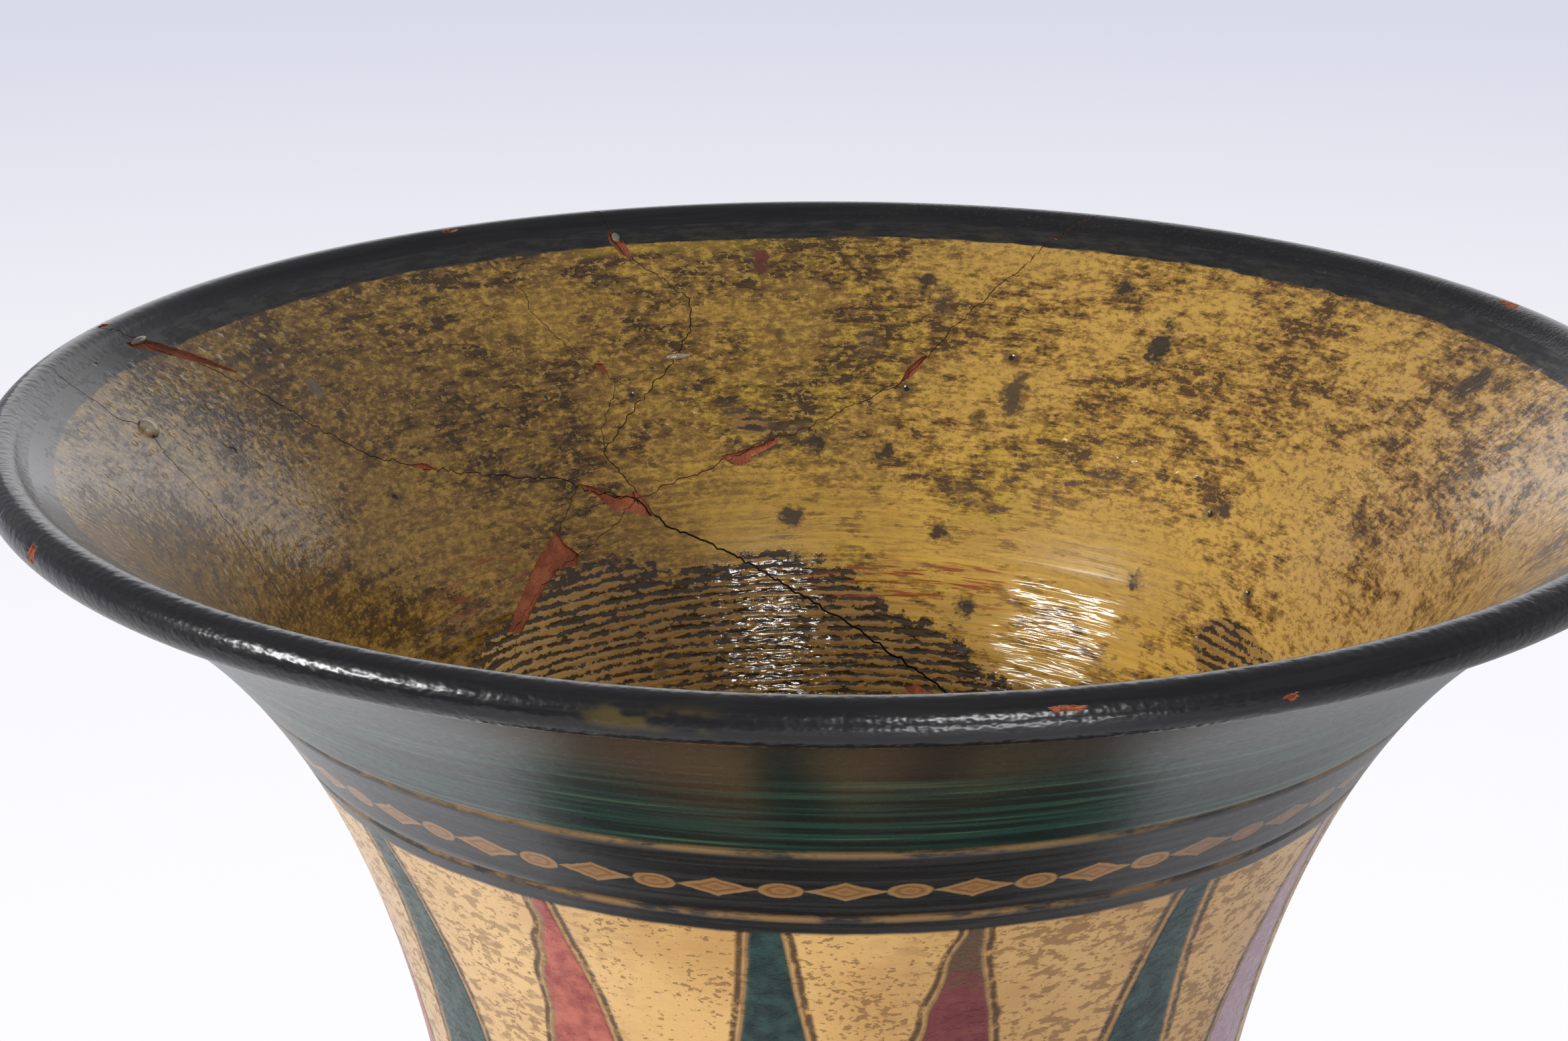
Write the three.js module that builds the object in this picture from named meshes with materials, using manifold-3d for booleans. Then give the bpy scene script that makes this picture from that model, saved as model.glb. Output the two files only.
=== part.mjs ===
// A bell-mouthed urn vase of painted terracotta, in millimetres, +Z up, standing on z = 0.
// It was thrown in sections that are luted together with lap joints: a hollow foot, a bowl,
// a shoulder, a neck and a wide mouth. The mouth has been broken and mended, so its wall is one
// large piece and four sherds that meet along the break lines, with glue standing on the breaks.

import * as THREE from "three";
import { mergeVertices } from "three/addons/utils/BufferGeometryUtils.js";
import Module from "manifold-3d";

const wasm = await Module();
wasm.setup();

// Outline of the vessel's outer face
const HEIGHT = 420; // floor to the crest of the lip
const MOUTH_RADIUS = 110; // outermost edge of the lip
const LIP_RADIUS = 2.8; // half the thickness of the rounded lip
const FLARE_SLOPE = 31; // degrees above level, where the wall meets the lip
const FLARE_REACH = 55; // pull of that slope down the wall
const NECK_RADIUS = 50; // the narrowest place
const NECK_HEIGHT = 262;
const NECK_RISE = 60; // pull of the upright neck above its narrowest place
const NECK_FALL = 34; // and below it
const BELLY_RADIUS = 116; // the widest place
const BELLY_HEIGHT = 172;
const BELLY_RISE = 52; // fullness above the widest place
const BELLY_FALL = 58; // and below it
const STEM_RADIUS = 34; // the pinch between bowl and foot
const STEM_HEIGHT = 46;
const BOWL_SLOPE = 32; // degrees above level, where the bowl springs from the stem
const BOWL_REACH = 40; // pull of that slope up the wall
const FOOT_RADIUS = 68;
const FOOT_EDGE = 8; // height of the foot's upright edge
const FOOT_SPREAD = 30; // pull of the level foot towards the stem
const STEM_FALL = 24; // pull of the upright stem towards the foot

// Walls and seats
const WALL_AT_LIP = 4.6;
const WALL_AT_STEM = 7.2;
const FLOOR = 9; // clay under the inside of the bowl, above the stem
const FOOT_RING = 10; // width of the ring that stands on the table
const FOOT_DECK = 12; // clay between the stem's top and the hollow of the foot
const FOOT_HOLLOW_RADIUS = 20; // the hollow's roof
const SPIGOT_RADIUS = 22; // boss under the bowl that keys into the foot
const SPIGOT_DEPTH = 4;
const MOUTH_DEPTH = 78; // crest of the lip down to the joint of mouth and neck
const NECK_SEAT = 12; // joint of neck and shoulder, below the narrowest place
const BELLY_SEAT = 24; // joint of shoulder and bowl, below the widest place
const LAP = 4; // height of the tongue in a lap joint
const GAP = 0.3; // slip or glue line between two pieces

// Fineness of the turned faces
const SEGMENTS = 48;
const WALL_STEPS = 8; // along the bowl, the shoulder and the mouth
const NECK_STEPS = 6;
const FOOT_STEPS = 7;
const HOLLOW_STEPS = 4;
const LIP_STEPS = 7;
const BEAD_SEGMENTS = [14, 10]; // round a drop of glue, and from its foot to its top
const LIP_WRAP = 120; // degrees of the lip's round to each side of its tip

// Break lines through the mouth, from the rim or the meeting point downwards:
// degrees anticlockwise from +X and millimetres below the crest, on the inner face.
const MEETING = [115, 35.5];
const BREAK_FAR_LEFT = [
  [174, 0], [174, 2], [174.5, 6.5], [172.5, 9], [174.5, 12], [175.5, 18], [177, 23.5],
  [178.5, 31], [178, 45], [176.5, 58], [178, 70],
];
const BREAK_LEFT = [
  [164, 0], [161, 2.5], [158, 7], [155, 11.5], [152, 17], [147.5, 22.5], [142, 25.5],
  [133.5, 29], [125.5, 31], [121, 33.5], MEETING,
];
const BREAK_BACK = [
  [111, 0], [110, 2.5], [109, 6], [104.5, 11], [105, 15], [108, 19], [113.5, 24.5],
  [118, 29], [116, 33], MEETING,
];
const BREAK_RIGHT = [
  [67.5, 0], [71, 3.5], [73, 7.5], [76, 11.5], [80.5, 18.5], [83, 22], [92.5, 27.5],
  [102, 31], [106.5, 33], [109, 33.5], MEETING,
];
const BREAK_LOW_LEFT = [
  MEETING, [119.5, 39], [125, 41.5], [131.5, 44.5], [138, 49], [143, 58], [146, 70],
];
const BREAK_LOW_RIGHT = [
  MEETING, [111.5, 40], [105, 43.5], [96.5, 49], [90.5, 53], [79.5, 59.5], [73, 63], [66, 70],
];
const BREAK_OVERRUN = 0.6; // each break runs past the meeting point, to part the sherds cleanly
const CUT_MARGIN = 8; // how far a break's cut stands clear of both faces, the rim and the joint

// One place on the inner face of each sherd, in the same degrees and depth
const SHERD_PLACES = {
  mouth_wall: [0, 40],
  sherd_left: [155, 40],
  sherd_back_left: [135, 20],
  sherd_back: [90, 20],
  sherd_throat: [110, 60],
};
const PLACE_MARK = 0.8; // edge of the small box that finds a sherd

// Glue on the breaks: place, half sizes round the wall, up the wall and proud of it
const GLUE_BEADS = {
  glue_bead_left: { place: [172.5, 9], half: [1.5, 1.5, 1.1] },
  glue_bead_left_rim: { place: [161.5, 2.5], half: [2.2, 1.1, 0.9] },
  glue_bead_back_rim: { place: [110, 3.2], half: [1.1, 1.4, 0.8] },
  glue_smear_back: { place: [107, 18], half: [2, 0.9, 0.7] },
};

const CLAY = new THREE.MeshStandardMaterial({ color: 0xb5603c, roughness: 0.75, metalness: 0 });
const CREAM = new THREE.MeshStandardMaterial({ color: 0xdcb978, roughness: 0.5, metalness: 0 });
const OCHRE = new THREE.MeshStandardMaterial({ color: 0xb08a34, roughness: 0.45, metalness: 0 });
const GREEN = new THREE.MeshStandardMaterial({ color: 0x1f3f36, roughness: 0.4, metalness: 0 });
const BLACK = new THREE.MeshStandardMaterial({ color: 0x1c1b1e, roughness: 0.35, metalness: 0 });
const GLUE = new THREE.MeshStandardMaterial({ color: 0xcfc6b0, roughness: 0.2, metalness: 0 });

const toRadians = THREE.MathUtils.degToRad;
const point = (x, y) => new THREE.Vector2(x, y);
const heading = (degrees) => point(Math.cos(toRadians(degrees)), Math.sin(toRadians(degrees)));
const beyond = (from, along, distance) => from.clone().addScaledVector(along, distance);
const UP = point(0, 1);
const OUT = point(1, 0);

// The outer face, as radius and height: bowl, shoulder and trumpet, each a curve between its ends
const flare = heading(FLARE_SLOPE);
const lipCentre = point(MOUTH_RADIUS - LIP_RADIUS, HEIGHT - LIP_RADIUS);
const underLip = beyond(beyond(lipCentre, flare, -LIP_RADIUS), heading(FLARE_SLOPE - 90), WALL_AT_LIP / 2);
const stem = point(STEM_RADIUS, STEM_HEIGHT);
const belly = point(BELLY_RADIUS, BELLY_HEIGHT);
const neckWaist = point(NECK_RADIUS, NECK_HEIGHT);
const wallCurves = [
  new THREE.CubicBezierCurve(
    stem,
    beyond(stem, heading(BOWL_SLOPE), BOWL_REACH),
    beyond(belly, UP, -BELLY_FALL),
    belly,
  ),
  new THREE.CubicBezierCurve(
    belly,
    beyond(belly, UP, BELLY_RISE),
    beyond(neckWaist, UP, -NECK_FALL),
    neckWaist,
  ),
  new THREE.CubicBezierCurve(
    neckWaist,
    beyond(neckWaist, UP, NECK_RISE),
    beyond(underLip, flare, -FLARE_REACH),
    underLip,
  ),
];

// Wall thickness, which thins evenly from the stem to the lip
function wallAt(height) {
  return THREE.MathUtils.mapLinear(height, STEM_HEIGHT, HEIGHT, WALL_AT_STEM, WALL_AT_LIP);
}

// A place along the wall: its points on the outer and inner faces, and the direction up the wall
function station(along) {
  const index = Math.min(Math.floor(along), wallCurves.length - 1);
  const outer = wallCurves[index].getPoint(along - index);
  const upward = wallCurves[index].getTangent(along - index);
  const inner = beyond(outer, point(-upward.y, upward.x), wallAt(outer.y));
  return { outer, inner, upward };
}

// How far along the wall one of its faces reaches a height, found by halving
function alongAt(height, face) {
  let low = 0;
  let high = wallCurves.length;
  for (let i = 0; i < 40; i++) {
    const middle = (low + high) / 2;
    if (station(middle)[face].y < height) low = middle;
    else high = middle;
  }
  return low;
}

// Points on one face from one height to another
function facePoints(from, to, face, steps) {
  const start = alongAt(from, face);
  const end = alongAt(to, face);
  const points = [];
  for (let i = 0; i <= steps; i++) {
    points.push(station(THREE.MathUtils.lerp(start, end, i / steps))[face]);
  }
  return points;
}

// The radius halfway through the wall, where the tongue of a lap joint meets its recess
function midRadius(height) {
  const outer = station(alongAt(height, "outer")).outer.x;
  const inner = station(alongAt(height, "inner")).inner.x;
  return (outer + inner) / 2;
}

// Top of the lower piece at a joint: a shoulder outside and a tongue inside
function tongue(joint) {
  const radius = midRadius(joint) - GAP / 2;
  return [point(radius, joint), point(radius, joint + LAP)];
}

// Bottom of the upper piece at a joint: the recess that sits over the tongue
function recess(joint) {
  const radius = midRadius(joint) + GAP / 2;
  return [point(radius, joint + LAP + GAP), point(radius, joint + GAP)];
}

const mouthJoint = HEIGHT - MOUTH_DEPTH;
const neckJoint = NECK_HEIGHT - NECK_SEAT;
const bellyJoint = BELLY_HEIGHT - BELLY_SEAT;

// Turn a profile of radius and height about the upright axis
function turn(profile) {
  return new THREE.LatheGeometry(profile, SEGMENTS).rotateX(Math.PI / 2);
}

function closed(profile) {
  return [...profile, profile[0].clone()];
}

// A ring of wall between two lap joints
function wallRing(lowJoint, highJoint, steps) {
  return turn(closed([
    ...facePoints(lowJoint + GAP, highJoint, "outer", steps),
    ...tongue(highJoint),
    ...facePoints(highJoint + LAP, lowJoint + LAP + GAP, "inner", steps),
    ...recess(lowJoint),
  ]));
}

// The hollow foot: a spreading pedestal on a flat ring, with a socket for the bowl's spigot
function makeFoot() {
  const edge = point(FOOT_RADIUS, FOOT_EDGE);
  const spread = new THREE.CubicBezierCurve(
    edge,
    beyond(edge, OUT, -FOOT_SPREAD),
    beyond(stem, UP, -STEM_FALL),
    stem,
  );
  const hollow = new THREE.QuadraticBezierCurve(
    point(FOOT_HOLLOW_RADIUS, STEM_HEIGHT - FOOT_DECK),
    point(FOOT_HOLLOW_RADIUS, FOOT_EDGE),
    point(FOOT_RADIUS - FOOT_RING, 0),
  );
  const socketRadius = SPIGOT_RADIUS + GAP;
  const socketFloor = STEM_HEIGHT - SPIGOT_DEPTH;
  return turn([
    point(0, STEM_HEIGHT - FOOT_DECK),
    ...hollow.getPoints(HOLLOW_STEPS),
    point(FOOT_RADIUS, 0),
    ...spread.getPoints(FOOT_STEPS),
    point(socketRadius, STEM_HEIGHT),
    point(socketRadius, socketFloor),
    point(0, socketFloor),
  ]);
}

// The bowl: the lower half of the body, with its floor and the spigot below it
function makeBowl() {
  const seat = STEM_HEIGHT + GAP;
  const spigotEnd = seat - SPIGOT_DEPTH;
  const floorHeight = seat + FLOOR;
  return turn([
    point(0, spigotEnd),
    point(SPIGOT_RADIUS, spigotEnd),
    point(SPIGOT_RADIUS, seat),
    ...facePoints(seat, bellyJoint, "outer", WALL_STEPS),
    ...tongue(bellyJoint),
    ...facePoints(bellyJoint + LAP, floorHeight, "inner", WALL_STEPS),
    point(0, floorHeight),
  ]);
}

// The flaring mouth as it was thrown, in one piece. Spare makes it thicker all round.
function mouthProfile(spare) {
  const round = new THREE.EllipseCurve(
    lipCentre.x,
    lipCentre.y,
    LIP_RADIUS + spare,
    LIP_RADIUS + spare,
    toRadians(FLARE_SLOPE - LIP_WRAP),
    toRadians(FLARE_SLOPE + LIP_WRAP),
  );
  const top = station(wallCurves.length);
  const thicken = (points, side) =>
    points.map((p) => beyond(p, heading(FLARE_SLOPE + 90), side * spare));
  return closed([
    ...thicken(facePoints(mouthJoint + GAP, top.outer.y, "outer", WALL_STEPS), -1),
    ...round.getPoints(LIP_STEPS),
    ...thicken(facePoints(top.inner.y, mouthJoint + LAP + GAP, "inner", WALL_STEPS), 1),
    ...recess(mouthJoint),
  ]);
}

// A closed geometry as a solid that can be joined and cut
function solidOf(geometry) {
  const bare = geometry.clone();
  bare.deleteAttribute("normal");
  bare.deleteAttribute("uv");
  const merged = mergeVertices(bare, 1e-4);
  return new wasm.Manifold(new wasm.Mesh({
    numProp: 3,
    vertProperties: new Float32Array(merged.attributes.position.array),
    triVerts: new Uint32Array(merged.index.array),
  }));
}

function geometryOf(solid) {
  const mesh = solid.getMesh();
  const geometry = new THREE.BufferGeometry();
  geometry.setAttribute("position", new THREE.BufferAttribute(mesh.vertProperties, 3));
  geometry.setIndex(new THREE.BufferAttribute(mesh.triVerts, 1));
  geometry.computeVertexNormals();
  return geometry;
}

// The inner face of the mouth at a place of degrees and depth, as a frame that looks out through
// the wall: round the vessel, up the wall and through it. Past the rim it follows the flare.
function wallFrame(degrees, depth) {
  const top = station(wallCurves.length);
  const topDepth = HEIGHT - top.inner.y;
  const past = Math.max(topDepth - depth, 0) / Math.sin(toRadians(FLARE_SLOPE));
  const here = past > 0 ? top : station(alongAt(HEIGHT - depth, "inner"));
  const place = beyond(here.inner, here.upward, past);
  const outward = heading(degrees);
  const round = new THREE.Vector3(-outward.y, outward.x, 0);
  const up = new THREE.Vector3(outward.x * here.upward.x, outward.y * here.upward.x, here.upward.y);
  const through = round.clone().cross(up);
  const origin = new THREE.Vector3(outward.x * place.x, outward.y * place.x, place.y);
  return { origin, round, up, through, radius: place.x };
}

// A break as a thin plate that stands through the wall along the line. Each station has four corners,
// and its two faces are split along the same diagonals, so the plate is equally thick all along.
const CORNERS = 4;

function breakPlate(line) {
  const frames = line.map(([degrees, depth]) => wallFrame(degrees, depth));
  const corners = [];
  frames.forEach((frame, i) => {
    const before = frames[Math.max(i - 1, 0)].origin;
    const after = frames[Math.min(i + 1, frames.length - 1)].origin;
    const side = frame.through.clone().cross(after.clone().sub(before)).setLength(GAP / 2);
    const inside = frame.origin.clone().addScaledVector(frame.through, -CUT_MARGIN);
    const outside = frame.origin.clone().addScaledVector(frame.through, wallAt(frame.origin.z) + CUT_MARGIN);
    corners.push(
      inside.clone().add(side),
      outside.clone().add(side),
      outside.clone().sub(side),
      inside.clone().sub(side),
    );
  });
  const index = [0, 2, 1, 0, 3, 2];
  for (let first = 0; first + CORNERS < corners.length; first += CORNERS) {
    for (let k = 0; k < CORNERS; k++) {
      const [a, b] = [first + k, first + ((k + 1) % CORNERS)];
      const [c, d] = [b + CORNERS, a + CORNERS];
      if (k === 2) index.push(a, b, d, b, c, d);
      else index.push(a, c, d, a, b, c);
    }
  }
  const last = corners.length - CORNERS;
  index.push(last, last + 1, last + 2, last, last + 2, last + 3);
  return solidOf(new THREE.BufferGeometry().setFromPoints(corners).setIndex(index));
}

// A break line whose ends run past the rim, the joint or the meeting point
function overrun(line) {
  const [firstDegrees, firstDepth] = line[0];
  const [lastDegrees, lastDepth] = line[line.length - 1];
  const fromRim = line[0] !== MEETING;
  const toMeeting = line[line.length - 1] === MEETING;
  const start = fromRim ? [firstDegrees, firstDepth - CUT_MARGIN] : pastMeeting(line[1]);
  const end = toMeeting ? pastMeeting(line[line.length - 2]) : [lastDegrees, MOUTH_DEPTH + CUT_MARGIN];
  return [start, ...line, end];
}

// The point just beyond the meeting point for a break that comes from another point
function pastMeeting([degrees, depth]) {
  const perDegree = toRadians(wallFrame(...MEETING).radius);
  const run = point((MEETING[0] - degrees) * perDegree, MEETING[1] - depth).setLength(BREAK_OVERRUN);
  return [MEETING[0] + run.x / perDegree, MEETING[1] + run.y];
}

// The mouth, parted along its breaks. Each piece is known by a small box at its place in the wall.
function makeMouthPieces() {
  const breaks = [
    BREAK_FAR_LEFT, BREAK_LEFT, BREAK_BACK, BREAK_RIGHT, BREAK_LOW_LEFT, BREAK_LOW_RIGHT,
  ];
  let mouth = solidOf(turn(mouthProfile(0)));
  for (const line of breaks) mouth = mouth.subtract(breakPlate(overrun(line)));
  const bodies = mouth.decompose();
  const pieces = {};
  for (const [name, place] of Object.entries(SHERD_PLACES)) {
    const frame = wallFrame(...place);
    const middle = frame.origin.addScaledVector(frame.through, wallAt(frame.origin.z) / 2);
    const mark = solidOf(
      new THREE.BoxGeometry(PLACE_MARK, PLACE_MARK, PLACE_MARK).translate(middle.x, middle.y, middle.z),
    );
    pieces[name] = geometryOf(bodies.find((body) => !body.intersect(mark).isEmpty()));
  }
  return pieces;
}

// A drop of glue: a flattened ball on the inner face, hollowed to sit over the wall
function makeGlue({ place, half }, wallWithGap) {
  const frame = wallFrame(...place);
  const lie = new THREE.Matrix4().makeBasis(frame.round, frame.up, frame.through).setPosition(frame.origin);
  const ball = new THREE.SphereGeometry(1, ...BEAD_SEGMENTS).scale(...half).applyMatrix4(lie);
  return geometryOf(solidOf(ball).subtract(wallWithGap));
}

const vase = new THREE.Group();

function place(name, geometry, material) {
  const mesh = new THREE.Mesh(geometry, material);
  mesh.name = name;
  vase.add(mesh);
}

place("foot", makeFoot(), BLACK);
place("bowl", makeBowl(), CREAM);
place("shoulder", wallRing(bellyJoint, neckJoint, WALL_STEPS), CREAM);
place("neck", wallRing(neckJoint, mouthJoint, NECK_STEPS), OCHRE);

const mouthPieces = makeMouthPieces();
for (const [name, geometry] of Object.entries(mouthPieces)) {
  place(name, geometry, name === "mouth_wall" ? GREEN : CLAY);
}

const wallWithGap = solidOf(turn(mouthProfile(GAP)));
for (const [name, bead] of Object.entries(GLUE_BEADS)) {
  place(name, makeGlue(bead, wallWithGap), GLUE);
}

export default vase;
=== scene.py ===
# %% [markdown]
# This lesson dresses an urn vase of painted terracotta. The real one was thrown on a wheel in sections,
# painted with coloured slips, broken at the mouth and mended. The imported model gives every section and
# sherd its place. Here each one is turned again with a finer outline, cracked, chipped and painted.
# All lengths are in metres, +Z is up, and the viewer stands on the -Y side.

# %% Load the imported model
import bisect
import math
import random

import bpy
from mathutils import Matrix, Vector
from mathutils.geometry import interpolate_bezier


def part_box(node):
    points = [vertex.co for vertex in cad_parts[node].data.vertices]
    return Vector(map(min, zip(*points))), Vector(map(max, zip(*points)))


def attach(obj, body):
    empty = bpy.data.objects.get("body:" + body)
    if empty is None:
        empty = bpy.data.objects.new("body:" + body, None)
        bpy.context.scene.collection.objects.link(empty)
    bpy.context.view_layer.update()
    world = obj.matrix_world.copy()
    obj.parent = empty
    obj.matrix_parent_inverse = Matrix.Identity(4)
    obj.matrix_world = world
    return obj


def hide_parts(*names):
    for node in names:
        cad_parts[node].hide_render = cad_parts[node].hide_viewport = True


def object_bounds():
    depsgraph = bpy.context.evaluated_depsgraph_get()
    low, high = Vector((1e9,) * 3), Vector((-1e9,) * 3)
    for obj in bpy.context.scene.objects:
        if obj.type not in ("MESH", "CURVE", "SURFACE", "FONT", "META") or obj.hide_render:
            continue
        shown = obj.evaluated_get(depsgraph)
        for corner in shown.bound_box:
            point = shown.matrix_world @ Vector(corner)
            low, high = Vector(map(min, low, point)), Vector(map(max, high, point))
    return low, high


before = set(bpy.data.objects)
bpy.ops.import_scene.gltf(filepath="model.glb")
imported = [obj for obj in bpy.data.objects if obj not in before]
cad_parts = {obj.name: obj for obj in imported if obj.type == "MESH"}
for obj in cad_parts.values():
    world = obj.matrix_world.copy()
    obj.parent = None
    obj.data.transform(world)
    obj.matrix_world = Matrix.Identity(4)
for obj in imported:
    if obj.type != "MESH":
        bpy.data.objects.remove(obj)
cad_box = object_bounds()
MM = 0.001
CREST = cad_box[1][2]
print("nodes:", sorted(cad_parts), "crest at", round(CREST, 4))

# %% [markdown]
# A thrown wall is two faces that run side by side. The outer face is three smooth curves: the bowl, the
# shoulder and the trumpet of the neck. The inner face could be drawn too, but the potter only feels the
# thickness, so it is found from the outer one, square to it, by a wall that thins from stem to lip.

# %% Draw the outer and inner faces of the wall
MOUTH_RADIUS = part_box("mouth_wall")[1][0]
FOOT_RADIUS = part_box("foot")[1][0]
LIP_ROUND = 2.8 * MM
FLARE = 31
STEM = Vector((34 * MM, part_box("foot")[1][2]))
BELLY = Vector((116 * MM, 172 * MM))
WAIST = Vector((50 * MM, 262 * MM))
WALL_AT_STEM = 7.2 * MM
WALL_AT_LIP = 4.6 * MM
CURVE_STEPS = 200
STEM_HEADING = 32
STEM_PULL, LIP_PULL = 40, 55
BELLY_PULLS, WAIST_PULLS = (58, 52), (34, 60)


def heading(degrees):
    return Vector((math.cos(math.radians(degrees)), math.sin(math.radians(degrees))))


UP = Vector((0, 1))
LIP_CENTRE = Vector((MOUTH_RADIUS - LIP_ROUND, CREST - LIP_ROUND))
UNDER_LIP = LIP_CENTRE - heading(FLARE) * LIP_ROUND + heading(FLARE - 90) * WALL_AT_LIP / 2


def joined_curves(*curves):
    """Points along several curves that follow one another"""
    points = [curves[0][0]]
    for curve in curves:
        points += [Vector(p) for p in interpolate_bezier(*curve, CURVE_STEPS)[1:]]
    return points


outer_face = joined_curves(
    (STEM, STEM + heading(STEM_HEADING) * STEM_PULL * MM, BELLY - UP * BELLY_PULLS[0] * MM, BELLY),
    (BELLY, BELLY + UP * BELLY_PULLS[1] * MM, WAIST - UP * WAIST_PULLS[0] * MM, WAIST),
    (WAIST, WAIST + UP * WAIST_PULLS[1] * MM, UNDER_LIP - heading(FLARE) * LIP_PULL * MM, UNDER_LIP),
)


def wall_at(height):
    share = (height - STEM.y) / (CREST - STEM.y)
    return WALL_AT_STEM + (WALL_AT_LIP - WALL_AT_STEM) * share


inner_face = []
for i, place in enumerate(outer_face):
    along = (outer_face[min(i + 1, len(outer_face) - 1)] - outer_face[max(i - 1, 0)]).normalized()
    inner_face.append(place + Vector((-along.y, along.x)) * wall_at(place.y))


def radius_at(face, height):
    """Radius of a face at a height, between the two nearest points of its curve"""
    i = bisect.bisect_left(face, height, 1, len(face) - 1, key=lambda p: p.y)
    low, high = face[i - 1], face[i]
    return low.x + (high.x - low.x) * (height - low.y) / (high.y - low.y)


print("outer face", len(outer_face), "points; neck", round(radius_at(outer_face, WAIST.y) / MM, 1), "mm")

# %% [markdown]
# A round pot could start from a cylinder, but the wheel suggests a better way. One vertex is extruded
# from point to point along the section of the wall, and the line is spun about the upright axis. Spinning
# slows down as the mesh grows, so it makes one sector, and a second spin copies that sector round the axis.
# The seams are then merged, and the normals are turned outwards.

# %% Turn a section on the wheel
SECTORS = 8
SECTOR_STEPS = 36
MERGE_WITHIN = MM / 100
FULL_TURN = 2 * math.pi


def choose_all():
    bpy.ops.mesh.select_all(action="SELECT")


def leave_edit_mode():
    bpy.ops.object.mode_set(mode="OBJECT")


def new_piece(add, name, **options):
    """Add a primitive as a piece of its own, and name it"""
    bpy.ops.object.select_all(action="DESELECT")
    add(**options)
    piece = bpy.context.object
    piece.name = piece.data.name = name
    return piece


def start_line(name, first):
    """A new mesh of one vertex, left in edit mode"""
    piece = new_piece(bpy.ops.mesh.primitive_plane_add, name, size=MM)
    bpy.ops.object.mode_set(mode="EDIT")
    bpy.ops.mesh.merge(type="CENTER")
    bpy.ops.transform.translate(value=first)
    return piece


def draw_line(points):
    """Extrude the chosen vertex from point to point"""
    for before, after in zip(points, points[1:]):
        bpy.ops.mesh.extrude_region_move(TRANSFORM_OT_translate={"value": after - before})


def turned(name, section):
    """Spin a section, given as radius and height, into a closed piece"""
    points = [Vector((p.x, 0, p.y)) for p in section]
    piece = start_line(name, points[0])
    draw_line(points)
    choose_all()
    bpy.ops.mesh.remove_doubles(threshold=MERGE_WITHIN)
    bpy.ops.mesh.spin(steps=SECTOR_STEPS, angle=FULL_TURN / SECTORS, center=(0, 0, 0), axis=(0, 0, 1))
    choose_all()
    copies = SECTORS - 1
    bpy.ops.mesh.spin(
        steps=copies, dupli=True, angle=FULL_TURN * copies / SECTORS, center=(0, 0, 0), axis=(0, 0, 1))
    choose_all()
    bpy.ops.mesh.remove_doubles(threshold=MERGE_WITHIN)
    bpy.ops.mesh.normals_make_consistent(inside=False)
    leave_edit_mode()
    print(name, len(piece.data.polygons), "faces")
    return piece


# %% [markdown]
# The painter scored lines into the leather-hard clay to keep the bands apart. They are real grooves, so
# the section gets a small notch wherever a scored line runs, and plain even steps elsewhere.

# %% Follow a face, with its scored lines
SCORE_DEPTH = 0.3 * MM
SCORE_HALF = 0.6 * MM
SCORED_DEPTHS = [29.9, 41.2, 160, 174, 214, 228, 348, 366]
SCORED_HEIGHTS = [CREST - depth * MM for depth in SCORED_DEPTHS]


def follow(face, low, high, step, scored=()):
    """Points up a face from one height to another"""
    count = math.ceil((high - low) / step)
    heights = {low + (high - low) * i / count for i in range(count + 1)}
    for score in scored:
        heights.update(h for h in (score + SCORE_HALF * k / 2 for k in range(-2, 3)) if low < h < high)
    points = []
    for height in sorted(heights):
        nearest = min((abs(height - score) for score in scored), default=SCORE_HALF)
        notch = SCORE_DEPTH * max(1 - nearest / SCORE_HALF, 0)
        points.append(Vector((radius_at(face, height) - notch, height)))
    return points


# %% [markdown]
# The sections were thrown apart and luted with slip, tongue into recess. On the real vase the joints are
# wiped smooth, so here each piece runs to the middle of the joint and meets its neighbour without a gap.

# %% Turn the bowl, shoulder and neck
LAP = 4 * MM
STEP = 1.5 * MM
belly_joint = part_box("shoulder")[0][2]
neck_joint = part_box("neck")[0][2]
mouth_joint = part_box("mouth_wall")[0][2]
seat = STEM.y
SPIGOT_RADIUS = 22 * MM
spigot_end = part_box("bowl")[0][2]
FLOOR_HEIGHT = 55.3 * MM


def lap_joint(height):
    """The step of a joint in the middle of the wall, from its lower edge to its upper one"""
    radius = (radius_at(outer_face, height) + radius_at(inner_face, height)) / 2
    return [Vector((radius, height)), Vector((radius, height + LAP))]


def wall_section(low, high):
    """The closed section of a ring of wall between two joints"""
    outside = follow(outer_face, low, high, STEP, SCORED_HEIGHTS)
    inside = follow(inner_face, low + LAP, high + LAP, STEP)
    return outside + lap_joint(high) + inside[::-1] + lap_joint(low)[::-1] + outside[:1]


bowl_outside = follow(outer_face, seat, belly_joint, STEP, SCORED_HEIGHTS)
bowl_inside = follow(inner_face, FLOOR_HEIGHT, belly_joint + LAP, STEP)
bowl = turned("painted_bowl", [
    Vector((0, spigot_end)),
    Vector((SPIGOT_RADIUS, spigot_end)),
    Vector((SPIGOT_RADIUS, seat)),
    *bowl_outside,
    *lap_joint(belly_joint),
    *bowl_inside[::-1],
    Vector((0, FLOOR_HEIGHT)),
])
shoulder = turned("painted_shoulder", wall_section(belly_joint, neck_joint))
neck = turned("painted_neck", wall_section(neck_joint, mouth_joint))

# %% [markdown]
# The foot is a hollow pedestal. Its lower edge is worn round by use, so its section has small arcs at the
# corners, where a bevel on the finished mesh would have to be picked out edge by edge.

# %% Turn the foot
FOOT_EDGE = 8 * MM
FOOT_RING = 10 * MM
DECK = STEM.y - 12 * MM
HOLLOW_RADIUS = 20 * MM
EDGE_ROUND = 1.6 * MM
FOOT_PULL, STEM_DROP = 30 * MM, 24
SPREAD_STEPS, HOLLOW_STEPS = 40, 24


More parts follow.
